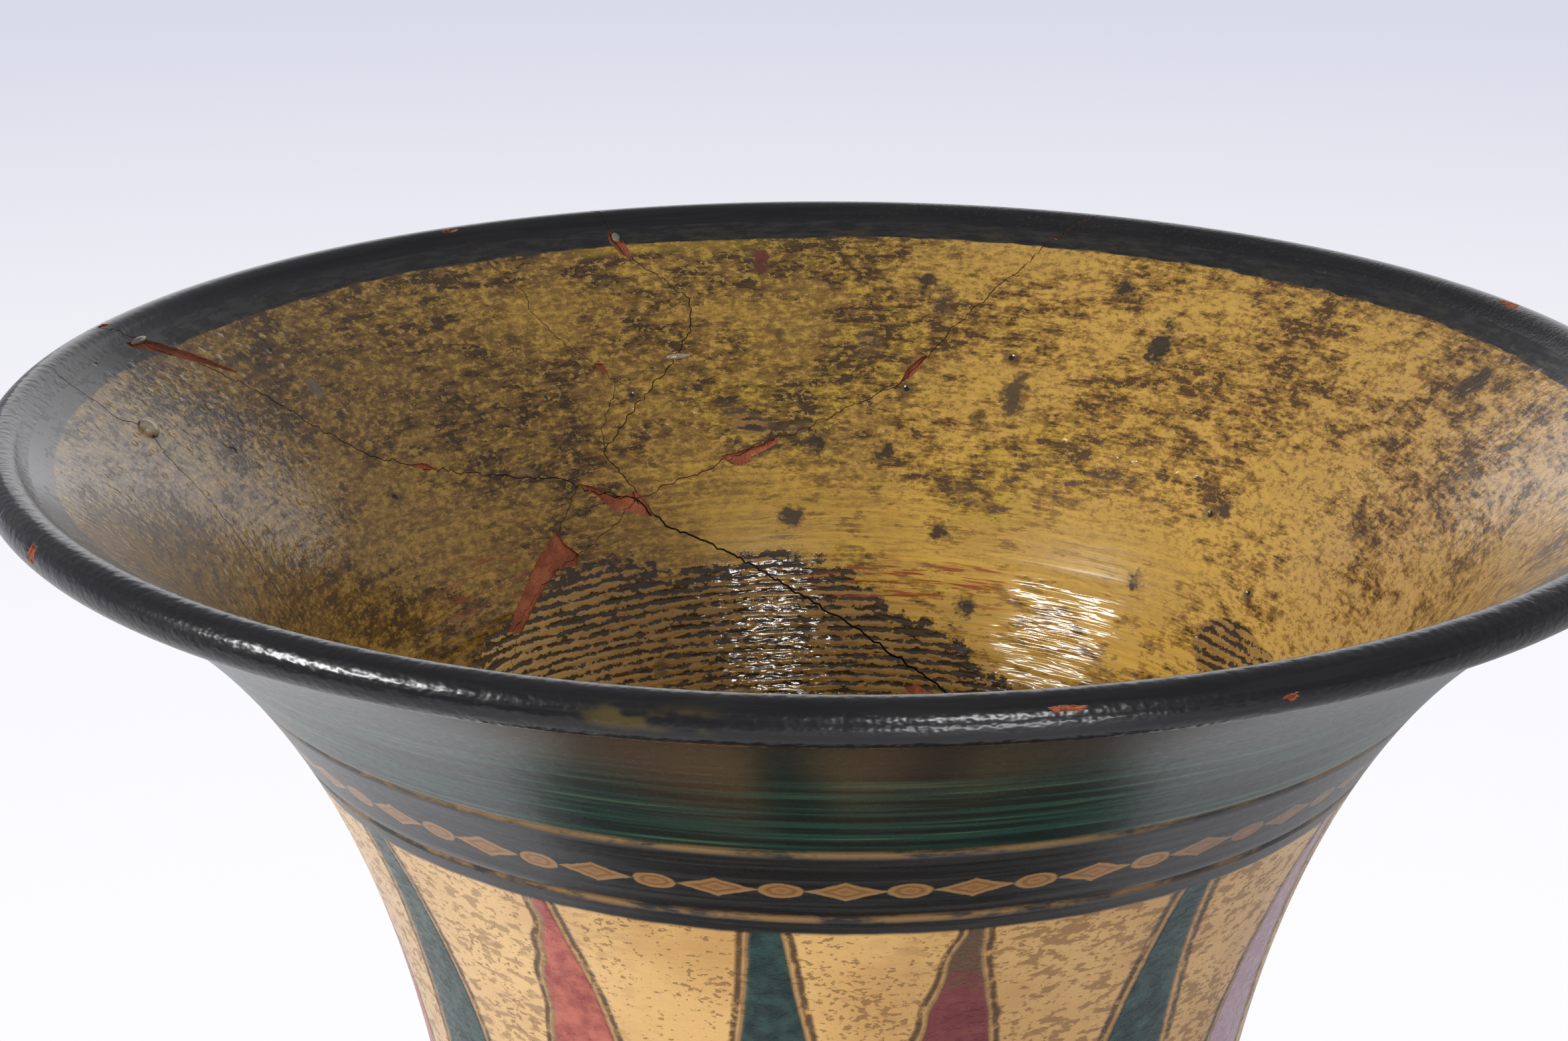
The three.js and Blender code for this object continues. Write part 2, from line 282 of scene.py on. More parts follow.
def arc(centre, radius, start, end, steps=6):
    """Points on a round, from one heading to another in degrees"""
    return [centre + heading(start + (end - start) * i / steps) * radius for i in range(steps + 1)]


foot_edge = Vector((FOOT_RADIUS, FOOT_EDGE))
foot_spread = interpolate_bezier(
    foot_edge - Vector((EDGE_ROUND, 0)), foot_edge - Vector((FOOT_PULL, 0)),
    STEM - UP * STEM_DROP * MM, STEM, SPREAD_STEPS)
hollow_foot = Vector((FOOT_RADIUS - FOOT_RING, 0))
hollow_pull = Vector((HOLLOW_RADIUS, FOOT_EDGE))
hollow_top = Vector((HOLLOW_RADIUS, DECK))
hollow = interpolate_bezier(
    hollow_top, hollow_top.lerp(hollow_pull, 2 / 3),
    hollow_foot.lerp(hollow_pull, 2 / 3), hollow_foot, HOLLOW_STEPS)
foot = turned("painted_pedestal", [
    Vector((0, DECK)),
    *hollow,
    *arc(Vector((FOOT_RADIUS - EDGE_ROUND, EDGE_ROUND)), EDGE_ROUND, -90, 0),
    *arc(foot_edge - Vector((EDGE_ROUND, EDGE_ROUND)), EDGE_ROUND, 0, 90)[:-1],
    *foot_spread,
    Vector((SPIGOT_RADIUS, STEM.y)),
    Vector((SPIGOT_RADIUS, spigot_end)),
    Vector((0, spigot_end)),
])

# %% [markdown]
# The mouth is the part that everyone looks at. Its lip is a full round that stands a little proud of the
# wall, so the section goes up the outside, over the lip as an arc, and down the inside to the joint. In the
# throat the potter's fingers left fine ridges. They could be faked with bump alone, but the section can
# carry them, so the inner face waves there by a few hundredths of a millimetre.

# %% Turn the mouth
LIP_WRAP, LIP_STEPS = 120, 24
TOP_HEIGHT = inner_face[-1].y
MOUTH_STEP = 1.2 * MM
RIDGE_PITCH = 1.3 * MM
RIDGE_RISE = 0.035 * MM
RIDGE_FADE = 6
RIDGES_LOW, RIDGES_HIGH = CREST - 68 * MM, CREST - 44 * MM


def ridged(points):
    """A wave across the wall, that dies out towards both ends of the ridges"""
    for point in points:
        share = (point.y - RIDGES_LOW) / (RIDGES_HIGH - RIDGES_LOW)
        swell = min(1, RIDGE_FADE * share, RIDGE_FADE * (1 - share))
        point.x += RIDGE_RISE * swell * math.sin(FULL_TURN * (CREST - point.y) / RIDGE_PITCH)
    return points


mouth_outside = follow(outer_face, mouth_joint, UNDER_LIP.y, MOUTH_STEP, SCORED_HEIGHTS)
mouth_inside = [
    *follow(inner_face, mouth_joint + LAP, RIDGES_LOW, MOUTH_STEP),
    *ridged(follow(inner_face, RIDGES_LOW, RIDGES_HIGH, RIDGE_PITCH / 4)),
    *follow(inner_face, RIDGES_HIGH, TOP_HEIGHT, MOUTH_STEP),
]
lip = arc(LIP_CENTRE, LIP_ROUND, FLARE - LIP_WRAP, FLARE + LIP_WRAP, LIP_STEPS)
mouth = turned("painted_mouth", [
    *mouth_outside,
    *lip,
    *mouth_inside[::-1],
    *lap_joint(mouth_joint)[::-1],
    mouth_outside[0],
])

# %% [markdown]
# Paint belongs to the outer face, slip to the inner face, black to the lip and bare clay to the joints.
# The finishes are only named here and mixed later. Each face takes its finish from where it lies. The cuts
# that follow carry clay into every flake, chip and fine break, and a near black into hairlines and wider
# breaks.

# %% Share out the finishes
OUTSIDE_PAINT, INSIDE_SLIP, BARE_CLAY, LIP_BLACK, BREAK_DARK, FOOT_PAINT, MENDING_GLUE = (
    bpy.data.materials.new(name) for name in (
        "outside_paint", "inside_slip", "bare_clay", "lip_black", "break_dark", "foot_paint",
        "mending_glue"))
WALL_FINISHES = [OUTSIDE_PAINT, INSIDE_SLIP, BARE_CLAY, LIP_BLACK, BREAK_DARK]
ON_FACE = 0.7 * MM
ON_AXIS = 30 * MM
FACING_DOWN = -0.05
SOCKET_RADIUS = 1.05 * SPIGOT_RADIUS


def share_finishes(piece):
    """Give each face of a turned wall the paint, the slip, the clay or the black of the lip"""
    for finish in WALL_FINISHES:
        piece.data.materials.append(finish)
    for face in piece.data.polygons:
        radius, height = face.center.xy.length, face.center.z
        on_lip = height > (UNDER_LIP.y if radius > LIP_CENTRE.x else TOP_HEIGHT)
        outside = abs(radius - radius_at(outer_face, height)) < ON_FACE and height > STEM.y
        inside = abs(radius - radius_at(inner_face, height)) < ON_FACE or (
            radius < ON_AXIS and abs(height - FLOOR_HEIGHT) < ON_FACE)
        finish = INSIDE_SLIP if inside else BARE_CLAY
        finish = LIP_BLACK if on_lip else OUTSIDE_PAINT if outside else finish
        face.material_index = WALL_FINISHES.index(finish)


for piece in (bowl, shoulder, neck, mouth):
    share_finishes(piece)
foot.data.materials.append(FOOT_PAINT)
foot.data.materials.append(BARE_CLAY)
for face in foot.data.polygons:
    hidden = face.normal.z < FACING_DOWN or face.center.xy.length < SOCKET_RADIUS
    face.material_index = int(hidden)
print("finishes shared out")

# %% [markdown]
# The mouth broke along six lines that meet low at the back left, and was glued. Each line is drawn on the
# inner face as places of degrees round the vase and millimetres below the crest. Fired clay does not part
# in smooth curves, so short steps that stray to each side are drawn between those places, from a fixed
# seed, so that the same break comes out on each run.

# %% Find places on the inner face, and roughen a line between them
DEGREE = math.radians(1)


def wall_place(degrees, depth, through=0.0):
    """A point on the inner face or some way through the wall. Past the rim it follows the flare."""
    height = CREST - depth * MM
    low, high = min(height, TOP_HEIGHT) - MM, min(height, TOP_HEIGHT)
    along = Vector((radius_at(inner_face, high) - radius_at(inner_face, low), high - low)).normalized()
    past = max(height - TOP_HEIGHT, 0) / math.sin(math.radians(FLARE))
    flat = Vector((radius_at(inner_face, high), high)) + along * past + Vector((along.y, -along.x)) * through
    outward = heading(degrees)
    return Vector((outward.x * flat.x, outward.y * flat.x, flat.y))


def roughened(line, seed, step=0.9, stray=0.26):
    """Short steps along a line of places, straying to each side by a fraction of a millimetre"""
    draw = random.Random(seed)
    places = []
    for start, end in zip(line, line[1:]):
        run = (wall_place(*end) - wall_place(*start)).length / MM
        count = max(round(run / step), 1)
        for i in range(count):
            at = Vector(start).lerp(Vector(end), i / count)
            arc_mm = wall_place(*at).xy.length / MM * DEGREE
            slip = Vector((draw.uniform(-stray, stray) / arc_mm, draw.uniform(-stray, stray)))
            places.append(at + slip if i else at)
    return places + [Vector(line[-1])]


# %% [markdown]
# A break is a thin sheet that stands through the wall. One chain of vertices is drawn inside the mouth
# and one outside it, the two are bridged into a sheet, and Solidify gives it the width of the glue line.
# A Boolean then takes it out of the mouth.

# %% Draw a break and cut it out
CLEAR = 4 * MM


def sheet_between(name, near_chain, far_chain, width, finish):
    """A thin closed sheet between two chains of points"""
    cutter = start_line(name, near_chain[0])
    draw_line(near_chain)
    bpy.ops.mesh.primitive_plane_add(size=MM)
    bpy.ops.mesh.merge(type="CENTER")
    bpy.ops.transform.translate(value=far_chain[0])
    draw_line(far_chain)
    choose_all()
    bpy.ops.mesh.bridge_edge_loops()
    leave_edit_mode()
    bpy.ops.object.modifier_add(type="SOLIDIFY")
    cutter.modifiers[-1].thickness = width
    cutter.modifiers[-1].offset = 0
    bpy.ops.object.modifier_apply(modifier=cutter.modifiers[-1].name)
    cutter.data.materials.append(finish)
    return cutter


def select_only(*pieces):
    """Select these pieces, with the first one active"""
    bpy.ops.object.select_all(action="DESELECT")
    for piece in pieces:
        piece.select_set(True)
    bpy.context.view_layer.objects.active = pieces[0]


def cut(piece, cutters):
    """Take cutters out of a piece, and leave their finish in the cuts"""
    select_only(*cutters)
    bpy.ops.object.join()
    select_only(piece)
    bpy.ops.object.modifier_add(type="BOOLEAN")
    boolean = piece.modifiers[-1]
    boolean.operation = "DIFFERENCE"
    boolean.object = cutters[0]
    boolean.solver = "MANIFOLD"
    bpy.ops.object.modifier_apply(modifier=boolean.name)
    bpy.data.objects.remove(cutters[0])


# %% [markdown]
# Where the breaks crossed the surface, flakes of slip came away and left shallow red scars, and the lip
# lost small chips. A scar's outline is drawn on the inner face, filled, and extruded half a millimetre into
# the wall. A chip is a small ball, roughened and flattened, that is half sunk into the lip.

# %% Take out the flakes and the chips
FLAKES = {
    "meeting": [
        (122.5, 32.3), (121, 33), (119, 34.4), (117.2, 34.9), (115.2, 34.5), (114.2, 36.2),
        (113.4, 38.1), (115, 37.7), (117, 36.9), (118.5, 36.7), (119.6, 35.6), (120.4, 34.5)],
    "throat": [
        (127.2, 38.2), (126.4, 40), (125, 41.4), (125.7, 42.8), (128.2, 42.6), (130.3, 43.9),
        (131.6, 44.8), (133.7, 46.4), (136, 48.3), (137.6, 49.5), (139.4, 48.8), (137.4, 46.7),
        (135.8, 45.2), (132.4, 42), (130.8, 40.4), (128.7, 39)],
    "right": [
        (104, 31.1), (102, 30.7), (99.9, 30.1), (97.3, 29.1), (97.1, 29.8), (98.8, 30.7), (100.3, 31.1),
        (100.5, 32.1), (101.7, 32.5), (102.9, 32.2)],
    "right_top": [(83.2, 22.1), (82.5, 20.2), (81.5, 18.9), (80.5, 18.2), (81, 19.9), (82, 21.1)],
    "left_rim": [
        (163, 2.2), (160.4, 3), (158.6, 4.9), (156.8, 6.9), (155.3, 8.8), (155.6, 8.9), (157.4, 7.3),
        (159.2, 5.9), (161.2, 4.1), (163, 2.9)],
    "back_rim": [(110.5, 2.5), (109.8, 2.8), (109.1, 4.8), (109.2, 6), (110, 5.2), (110.7, 3.8)],
    "back_speck": [(116.3, 17.8), (115.4, 17.9), (115, 19), (115.7, 19.3)],
    "left_speck": [(143, 25), (141.5, 25.2), (139.8, 26.4), (141.4, 26.4)],
    "low_right": [(79.6, 62.9), (77.4, 62.4), (74.8, 63.4), (76.4, 64.2), (78.6, 63.8)],
}
FLAKE_DEPTH = 0.5 * MM
FLAKE_CLEAR = 1.2 * MM
CHIPS = {
    "near_left": (-147.5, 16, 0.9, 1.9),
    "near_right": (-77.5, 34, 2.1, 0.4),
    "far_right": (-64.5, 0, 0.9, 0.45),
    "back_notch": (26.2, 100, 2.2, 0.9),
    "back_left": (124.4, 112, 1.3, 0.5),
    "left_crest": (163, 92, 1.2, 0.6),
}
CHIP_DEPTH = 0.4 * MM
CHIP_UNEVEN = 0.3 * MM


def flake_cutter(name, outline):
    """A flake of slip: its outline on the wall, filled and pushed into the clay"""
    places = roughened(outline + outline[:1], name, step=0.9, stray=0.12)[:-1]
    near = [wall_place(*place, -FLAKE_CLEAR) for place in places]
    middle = [sum(values) / len(outline) for values in zip(*outline)]
    through = wall_place(*middle, FLAKE_DEPTH) - wall_place(*middle, -FLAKE_CLEAR)
    cutter = start_line("flake_" + name, near[0])
    draw_line(near)
    choose_all()
    bpy.ops.mesh.edge_face_add()
    bpy.ops.mesh.extrude_region_move(TRANSFORM_OT_translate={"value": through})
    choose_all()
    bpy.ops.mesh.normals_make_consistent(inside=False)
    leave_edit_mode()
    cutter.data.materials.append(BARE_CLAY)
    return cutter


def rough_ball(name, subdivisions, uneven, seed):
    """A ball of 1 mm radius with an uneven surface, left in edit mode"""
    add = bpy.ops.mesh.primitive_ico_sphere_add
    ball = new_piece(add, name, subdivisions=subdivisions, radius=MM)
    bpy.ops.object.mode_set(mode="EDIT")
    bpy.ops.transform.vertex_random(offset=uneven, uniform=1, seed=seed)
    return ball


def chip_cutter(name, degrees, lip_degrees, half_rim, half_lip):
    """A chip in the lip: a flat ragged ball, with half sizes round the rim and round the lip in mm"""
    outward = heading(degrees)
    on_lip = LIP_CENTRE + heading(lip_degrees) * LIP_ROUND
    cutter = rough_ball("chip_" + name, 3, CHIP_UNEVEN, seed=len(name))
    bpy.ops.transform.resize(value=(CHIP_DEPTH / MM, half_rim, half_lip))
    leave_edit_mode()
    cutter.data.transform(Matrix.Rotation(math.radians(-lip_degrees), 4, "Y"))
    cutter.data.transform(Matrix.Rotation(math.radians(degrees), 4, "Z"))
    cutter.data.transform(Matrix.Translation((outward.x * on_lip.x, outward.y * on_lip.x, on_lip.y)))
    cutter.data.materials.append(BARE_CLAY)
    return cutter


cut(mouth, [flake_cutter(name, outline) for name, outline in FLAKES.items()]
    + [chip_cutter(name, *chip) for name, chip in CHIPS.items()])
print(len(FLAKES), "flakes and", len(CHIPS), "chips taken out")

# %% [markdown]
# Three fine cracks stop short of the full wall. They are the same kind of sheet, but it only reaches half a
# millimetre into the clay, so they stay hairlines. The six breaks go right through. They could stand
# square to the wall, but fired clay shears, so they lean, and no light shows through them.

# %% Part the mouth along its breaks
MEETING = (115, 35.5)
BREAKS = {
    "far_left": (0.16, BREAK_DARK, [
        (174, -8), (174, 0), (174, 2), (174.5, 6.5), (172.5, 9), (174.5, 12), (175.5, 18), (177, 23.5),
        (178.5, 31), (178, 45), (176.5, 58), (178, 70), (178, 86)]),
    "left": (0.16, BREAK_DARK, [
        (166, -8), (164, 0), (161, 2.5), (158, 7), (155, 11.5), (152, 17), (147.5, 22.5), (142, 25.5),
        (133.5, 29), (125.5, 31), (121, 33.5), MEETING, (114.5, 35.7)]),
    "back": (0.16, BREAK_DARK, [
        (111.5, -8), (111, 0), (110, 2.5), (109, 6), (104.5, 11), (105, 15), (108, 19), (113.5, 24.5),
        (118, 29), (116, 33), MEETING, (114.8, 36.1)]),
    "right": (0.14, BARE_CLAY, [
        (66, -8), (67.5, 0), (71, 3.5), (73, 7.5), (76, 11.5), (80.5, 18.5), (83, 22), (92.5, 27.5),
        (102, 31), (106.5, 33), (109, 33.5), MEETING, (115.5, 35.7)]),
    "low_left": (0.12, BARE_CLAY, [
        (114.6, 35.1), MEETING, (119.5, 39), (125, 41.5), (131.5, 44.5), (138, 49), (143, 58),
        (146, 70), (147, 86)]),
    "low_right": (0.28, BREAK_DARK, [
        (115.5, 35.1), MEETING, (111.5, 40), (105, 43.5), (96.5, 49), (90.5, 53), (79.5, 59.5),
        (73, 63), (66, 70), (64, 86)]),
}
HAIRLINES = {
    "upper": [
        (124.2, 1.2), (122.8, 2.4), (122.4, 4.8), (120.7, 7.9), (120.7, 10.7), (119.1, 14.2),
        (116.4, 17.6)],
    "lower": [(115.6, 19), (114.5, 20), (115.2, 22.4), (117.7, 25.9), (118, 28.9)],
    "flakes": [(127, 38), (125, 35.6), (122.6, 32.6)],
}
HAIRLINE_WIDTH = 0.1
HAIRLINE_DEPTH = 0.6 * MM
LEAN = Vector((0.4, 0.08)) / MM


def break_cutter(name, line, width, reach, finish):
    """A sheet along a line, that leans by some degrees and depth for each millimetre through the wall"""
    places = roughened(line, name, step=0.8, stray=0.32)
    near = [wall_place(*(place - LEAN * CLEAR), -CLEAR) for place in places]
    far = [wall_place(*(place + LEAN * reach), reach) for place in places]
    return sheet_between("break_" + name, near, far, width * MM, finish)


cut(mouth, [break_cutter(name, line, HAIRLINE_WIDTH, HAIRLINE_DEPTH, BREAK_DARK)
            for name, line in HAIRLINES.items()])
for name, (width, finish, line) in BREAKS.items():
    cut(mouth, [break_cutter(name, line, width, WALL_AT_LIP + CLEAR, finish)])
print("mouth cut, now", len(mouth.data.polygons), "faces")

# %% [markdown]
# The cut mouth is still one object. Separating it by loose parts gives the wall and its sherds. Blender
# names them by number, so each is told by the CAD node whose box it fills.

# %% Separate the sherds
MOUTH_NODES = ["mouth_wall", "sherd_left", "sherd_back_left", "sherd_back", "sherd_throat"]
select_only(mouth)
bpy.ops.mesh.separate(type="LOOSE")
loose = list(bpy.context.selected_objects)


def corners(piece):
    return Vector(piece.bound_box[0]), Vector(piece.bound_box[6])


def misfit(piece, node):
    return sum((mine - its).length for mine, its in zip(corners(piece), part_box(node)))


pieces = {"foot": foot, "bowl": bowl, "shoulder": shoulder, "neck": neck}
for node in MOUTH_NODES:
    best = min(loose, key=lambda piece: misfit(piece, node))
    loose.remove(best)
    best.name = best.data.name = "painted_" + node
    pieces[node] = best
    print(node, len(best.data.polygons), "faces, off by", round(misfit(best, node) / MM, 2), "mm")
for crumb in loose:
    print("crumb removed:", len(crumb.data.polygons), "faces")
    bpy.data.objects.remove(crumb)

# %% [markdown]
# Clear glue stands on the breaks where it was squeezed out. A drop could be half a ball, but real drops
# sag and set unevenly. So a ball is flattened, roughened a little, laid on the wall, and cut level with it.

# %% Set the drops of glue
GLUE_DROPS = {
    "glue_bead_left": ((172.5, 9), (1.8, 1.8, 1.1)),
    "glue_bead_left_rim": ((161.5, 2.5), (2.2, 0.6, 0.45)),
    "glue_bead_back_rim": ((110, 3.2), (0.7, 1.1, 0.4)),
    "glue_smear_back": ((107, 18), (2.1, 0.5, 0.45)),
}
GLUE_LIFT = 0.05 * MM
GLUE_UNEVEN = 0.2 * MM


def glue_drop(node, place, half):
    """A flattened drop on the inner face: half sizes round the wall, up it and proud of it, in mm"""
    origin = wall_place(*place)
    into_wall = (wall_place(*place, MM) - origin).normalized()
    round_wall = Vector((*heading(place[0] + 90), 0))
    up_wall = into_wall.cross(round_wall)
    lie = Matrix((round_wall, up_wall, into_wall)).transposed().to_4x4()
    lie.translation = origin
    drop = rough_ball("set_" + node, 4, GLUE_UNEVEN, seed=len(node))
    bpy.ops.mesh.vertices_smooth(factor=0.5, repeat=16)
    bpy.ops.transform.resize(value=half)
    bpy.ops.mesh.bisect(plane_co=(0, 0, -GLUE_LIFT), plane_no=(0, 0, 1), clear_outer=True, use_fill=True)
    leave_edit_mode()
    drop.data.transform(lie)
    drop.data.materials.append(MENDING_GLUE)
    return drop


for node, (place, half) in GLUE_DROPS.items():
    pieces[node] = glue_drop(node, place, half)
    print(node, len(pieces[node].data.polygons), "faces")

# %% [markdown]
# Every piece belongs to the one rigid body of the vase and stands for its CAD node. Smooth shading goes
# over gentle bends only, so scored lines and breaks stay crisp.

# %% Ride, replace and smooth
SMOOTH_BELOW = math.radians(32)
for node, piece in pieces.items():
    select_only(piece)
    bpy.ops.object.shade_smooth_by_angle(angle=SMOOTH_BELOW)
    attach(piece, "root")
    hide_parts(node)
print(len(pieces), "pieces stand for", len(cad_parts), "CAD nodes")

# %% [markdown]
# The finishes are mixed from nodes, with no pictures. They all read the place of a point on the vase, in
# millimetres, and from it the angle round the axis and the depth below the crest, because the potter
# worked in rings. A small class keeps that arithmetic short, so that each finish reads as coat over coat.

# %% Places and coats
def paint(code):
    """A colour from its six hex digits, in the linear values that shaders take"""
    channels = [int(code[i:i + 2], 16) / 255 for i in (0, 2, 4)]
    return [c / 12.92 if c < 0.04045 else ((c + 0.055) / 1.055) ** 2.4 for c in channels] + [1]


class Finish:
    """The nodes of one material, with places on the vase in millimetres and degrees"""

    def __init__(self, material):
        material.use_nodes = True
        self.tree = material.node_tree
        self.shader = self.tree.nodes["Principled BSDF"]
        metres = self.node("TexCoord", output="Object")
        self.place = self.node("VectorMath", metres, 1 / MM, operation="SCALE")
        x, y, z = (self.node("SeparateXYZ", self.place, output=axis) for axis in "XYZ")
        self.angle = self.math("DEGREES", self.math("ARCTAN2", y, x))
        self.radius = self.length(x, y)
        self.depth = self.minus(CREST / MM, z)

    def node(self, kind, *values, output=0, **options):
        """Add a node, set its options, and wire or set its inputs in order"""
        added = self.tree.nodes.new("ShaderNode" + kind)
        for option, value in options.items():
            setattr(added, option, value)
        for socket, value in zip([s for s in added.inputs if s.enabled], values):
            self.feed(socket, value)
        if isinstance(output, str):
            return added.outputs[output]
        return [s for s in added.outputs if s.enabled][output]

    def feed(self, socket, value):
        if isinstance(value, bpy.types.NodeSocket):
            self.tree.links.new(value, socket)
        else:
            socket.default_value = value

    def math(self, operation, *values):
        return self.node("Math", *values, operation=operation)

    def add(self, *values):
        total = values[0]
        for value in values[1:]:
            total = self.math("ADD", total, value)
        return total

    def times(self, *values):
        product = values[0]
        for value in values[1:]:
            product = self.math("MULTIPLY", product, value)
        return product

    def total(self, *products):
        """The sum of products that are given as tuples"""
        return self.add(*(self.times(*values) for values in products))

    def minus(self, value, taken):
        return self.math("SUBTRACT", value, taken)

    def length(self, across, up):
        """The straight way over two sides that stand square to each other"""
        return self.math("SQRT", self.add(self.times(across, across), self.times(up, up)))

    def sway(self, value, reach):
        """A noise that wavers round nought, up to about half of reach each way"""
        return self.math("MULTIPLY_ADD", value, reach, -reach / 2)

    def fade(self, value, start, end):
        """From 0 at start to 1 at end, which may be the lower of the two"""
        return self.node("MapRange", value, start, end, interpolation_type="SMOOTHSTEP")

    def band(self, value, low, high, soft):
        """1 between two limits and 0 outside them"""
        risen = self.fade(value, low - soft, low + soft)
        return self.times(risen, self.fade(value, high + soft, high - soft))

    def coat(self, share, under, over):
        """Lay a colour over another, where share is 1"""
        under, over = (paint(c) if isinstance(c, str) else c for c in (under, over))
        return self.node("Mix", share, under, over, data_type="RGBA")

    def lay(self, over, *share):
        """Lay a colour over all that is painted so far, by a product of shares"""
        self.colour = self.coat(self.times(*share), self.colour, over)

    def scaled(self, size, stretch, shift):
        """Places counted in marks of size millimetres, drawn out level by stretch"""
        level = 1 / (size * stretch)
        scale = (level, level, 1 / size)
        return self.node("VectorMath", self.place, scale, [shift] * 3, operation="MULTIPLY_ADD")

    def grain(self, size, stretch=1, detail=3, shift=0.0, rough=0.55):
        """Noise with marks of about size millimetres, drawn out level by stretch"""
        return self.node("TexNoise", self.scaled(size, stretch, shift), 1, detail, rough)

    def spots(self, size, share, shift=0.0):
        """Distance in mm from a spot, one to each cell of size, in a share of the cells"""
        cell = self.scaled(size, 1, shift)
        distance = self.times(self.node("TexVoronoi", cell, 1), size)
        chosen = self.fade(self.node("TexVoronoi", cell, 1, output="Color"), share + 0.01, share - 0.01)
        return self.add(distance, self.times(self.minus(1, chosen), size))

    def near(self, degrees, depth):
        """Distance in millimetres along the wall from a place of degrees and depth"""
        across = self.times(self.minus(self.angle, degrees), self.radius, DEGREE)
        return self.length(across, self.minus(self.depth, depth))

    def finish(self, roughness, height, specular=0.5):
        """Wire the colour, the roughness and a relief in millimetres to the shader"""
        self.feed(self.shader.inputs["Base Color"], self.colour)
        self.feed(self.shader.inputs["Roughness"], roughness)
        self.feed(self.shader.inputs["Specular IOR Level"], specular)
        bump = self.node("Bump", output="Normal")
        self.feed(bump.node.inputs["Distance"], MM)
        self.feed(bump.node.inputs["Height"], height)
        self.feed(self.shader.inputs["Normal"], bump)


print("palette ready:", [round(c, 3) for c in paint("b8903f")])

# %% [markdown]
# Bare terracotta shows in the flakes and chips. It is a dull orange red and sandy, so three noises are
# enough, with a rough surface. The hairlines and the wider breaks are near black brown inside.

# %% Bare clay
GLUED_FLAKE = (159, 5.5)
f = Finish(BARE_CLAY)
sand = f.grain(0.5, detail=4)
clouds = f.grain(4, detail=4)
grit = f.grain(0.3, detail=2, shift=5.3)
f.colour = f.coat(f.fade(clouds, 0.38, 0.62), "8a472b", "b0643f")
f.lay("66341f", f.fade(sand, 0.54, 0.66), 0.6)
f.lay("bd8562", f.fade(grit, 0.6, 0.7), 0.5)
f.lay("40241c", f.fade(f.near(*GLUED_FLAKE), 10, 6), 0.45)
f.finish(0.8, f.times(sand, 0.4))

f = Finish(BREAK_DARK)
f.colour = f.coat(f.fade(f.grain(3, detail=4), 0.4, 0.62), "1d130d", "4a2a1b")
f.finish(0.9, 0.0)
print("bare clay and dirt mixed")

# %% [markdown]
# The inside is a mustard slip over a black band at the rim. Years of use stained it brown and black in
# dabs that follow the brush, pitted it, and scratched it through to the red clay. Deep in the throat the
# throwing ridges catch dark slip in their furrows. Each of these is a mask of noise, and the places where
# the photograph shows more or less of one are chosen by angle and depth.

# %% Noises and places inside
NEAR_SIDE = -90
THROAT_TOP = 43.5
CLEAN_ANGLES, CLEAN_DEPTHS = (38, 106), (37, 48)
f = Finish(INSIDE_SLIP)
clouds = f.grain(24)
patches = f.grain(13, stretch=1.5, detail=2, shift=6.4)
smears = f.grain(1.6, stretch=2.8, detail=6, shift=3.1, rough=0.74)
dabs = f.grain(1.7, stretch=1.3, detail=4, shift=7.7, rough=0.68)
lumps = f.grain(1.3, stretch=1.2, detail=2, shift=5.5)
fine = f.grain(0.6, stretch=1.5, detail=2, shift=1.3)
facets = f.grain(0.75, stretch=3.6, detail=1, shift=4.7)
brush = f.grain(0.9, stretch=34, detail=2)
hairs = f.grain(0.45, stretch=10, detail=3, shift=8.8, rough=0.65)
depth = f.add(f.depth, f.sway(clouds, 1.2))
around = f.minus(f.math("FLOORED_MODULO", f.minus(f.angle, NEAR_SIDE), 360), -NEAR_SIDE)
left = f.times(f.fade(around, 112, 160), f.fade(around, 255, 200))
near_right = f.fade(around, -80, -30)
right = f.times(f.fade(around, 100, 62), near_right)
far_right = f.times(f.fade(around, 40, 5), near_right)
upper = f.fade(f.add(depth, f.sway(patches, 30)), 38, 12)
clean = f.times(f.band(f.angle, *CLEAN_ANGLES, 14), f.band(depth, *CLEAN_DEPTHS, 4))
throat = f.fade(f.depth, THROAT_TOP, THROAT_TOP + 3.5)
bumpy = f.fade(depth, 36, 28)
blister = f.times(f.fade(f.add(f.spots(2.4, 0.5, shift=3.9), f.sway(fine, 0.8)), 0.8, 0.3), bumpy)
print("noises and places ready")

# %% [markdown]
# The slip was brushed on level, so its ground is mottled along the brush. It is duller near the rim. It is
# laid darker at the left as painted shade, paler at the right as painted light from the lamp at the left,
# and peach at the far right as a painted sheen. Over it lie the stains, with a brown halo where their noise
# is strong and a dark core where it is strongest.

# %% Mustard ground and stains
tone = f.total((clouds, 0.4), (brush, 0.3), (hairs, 0.3))
f.colour = f.coat(f.fade(tone, 0.44, 0.57), "84642a", "b38c36")
f.lay("7b602a", upper, 0.45)
# Painted shade darkens the left, painted light makes the right paler, and the far right peach is a painted
# sheen.
f.lay("82673c", left, 0.5)
f.lay("cfa34e", right, 0.6)
f.lay("c39a68", far_right, 0.5)
f.lay("b3962c", f.fade(patches, 0.52, 0.64), f.band(f.angle, 55, 112, 10), 0.5)
f.lay("bd9840", blister, 0.3)

amount = f.total((patches, 0.3), (smears, 0.5), (hairs, 0.2))
amount = f.total((amount,), (clean, -0.022), (upper, 0.024), (left, 0.012), (blister, -0.05))
halo = f.fade(amount, 0.505, 0.522)
core = f.fade(amount, 0.55, 0.568)
f.lay(f.coat(right, "4f3414", "724a17"), halo, 0.62)
dark = f.coat(right, f.coat(left, "241508", "3a2816"), "3d230a")
f.lay(dark, core, 0.88)

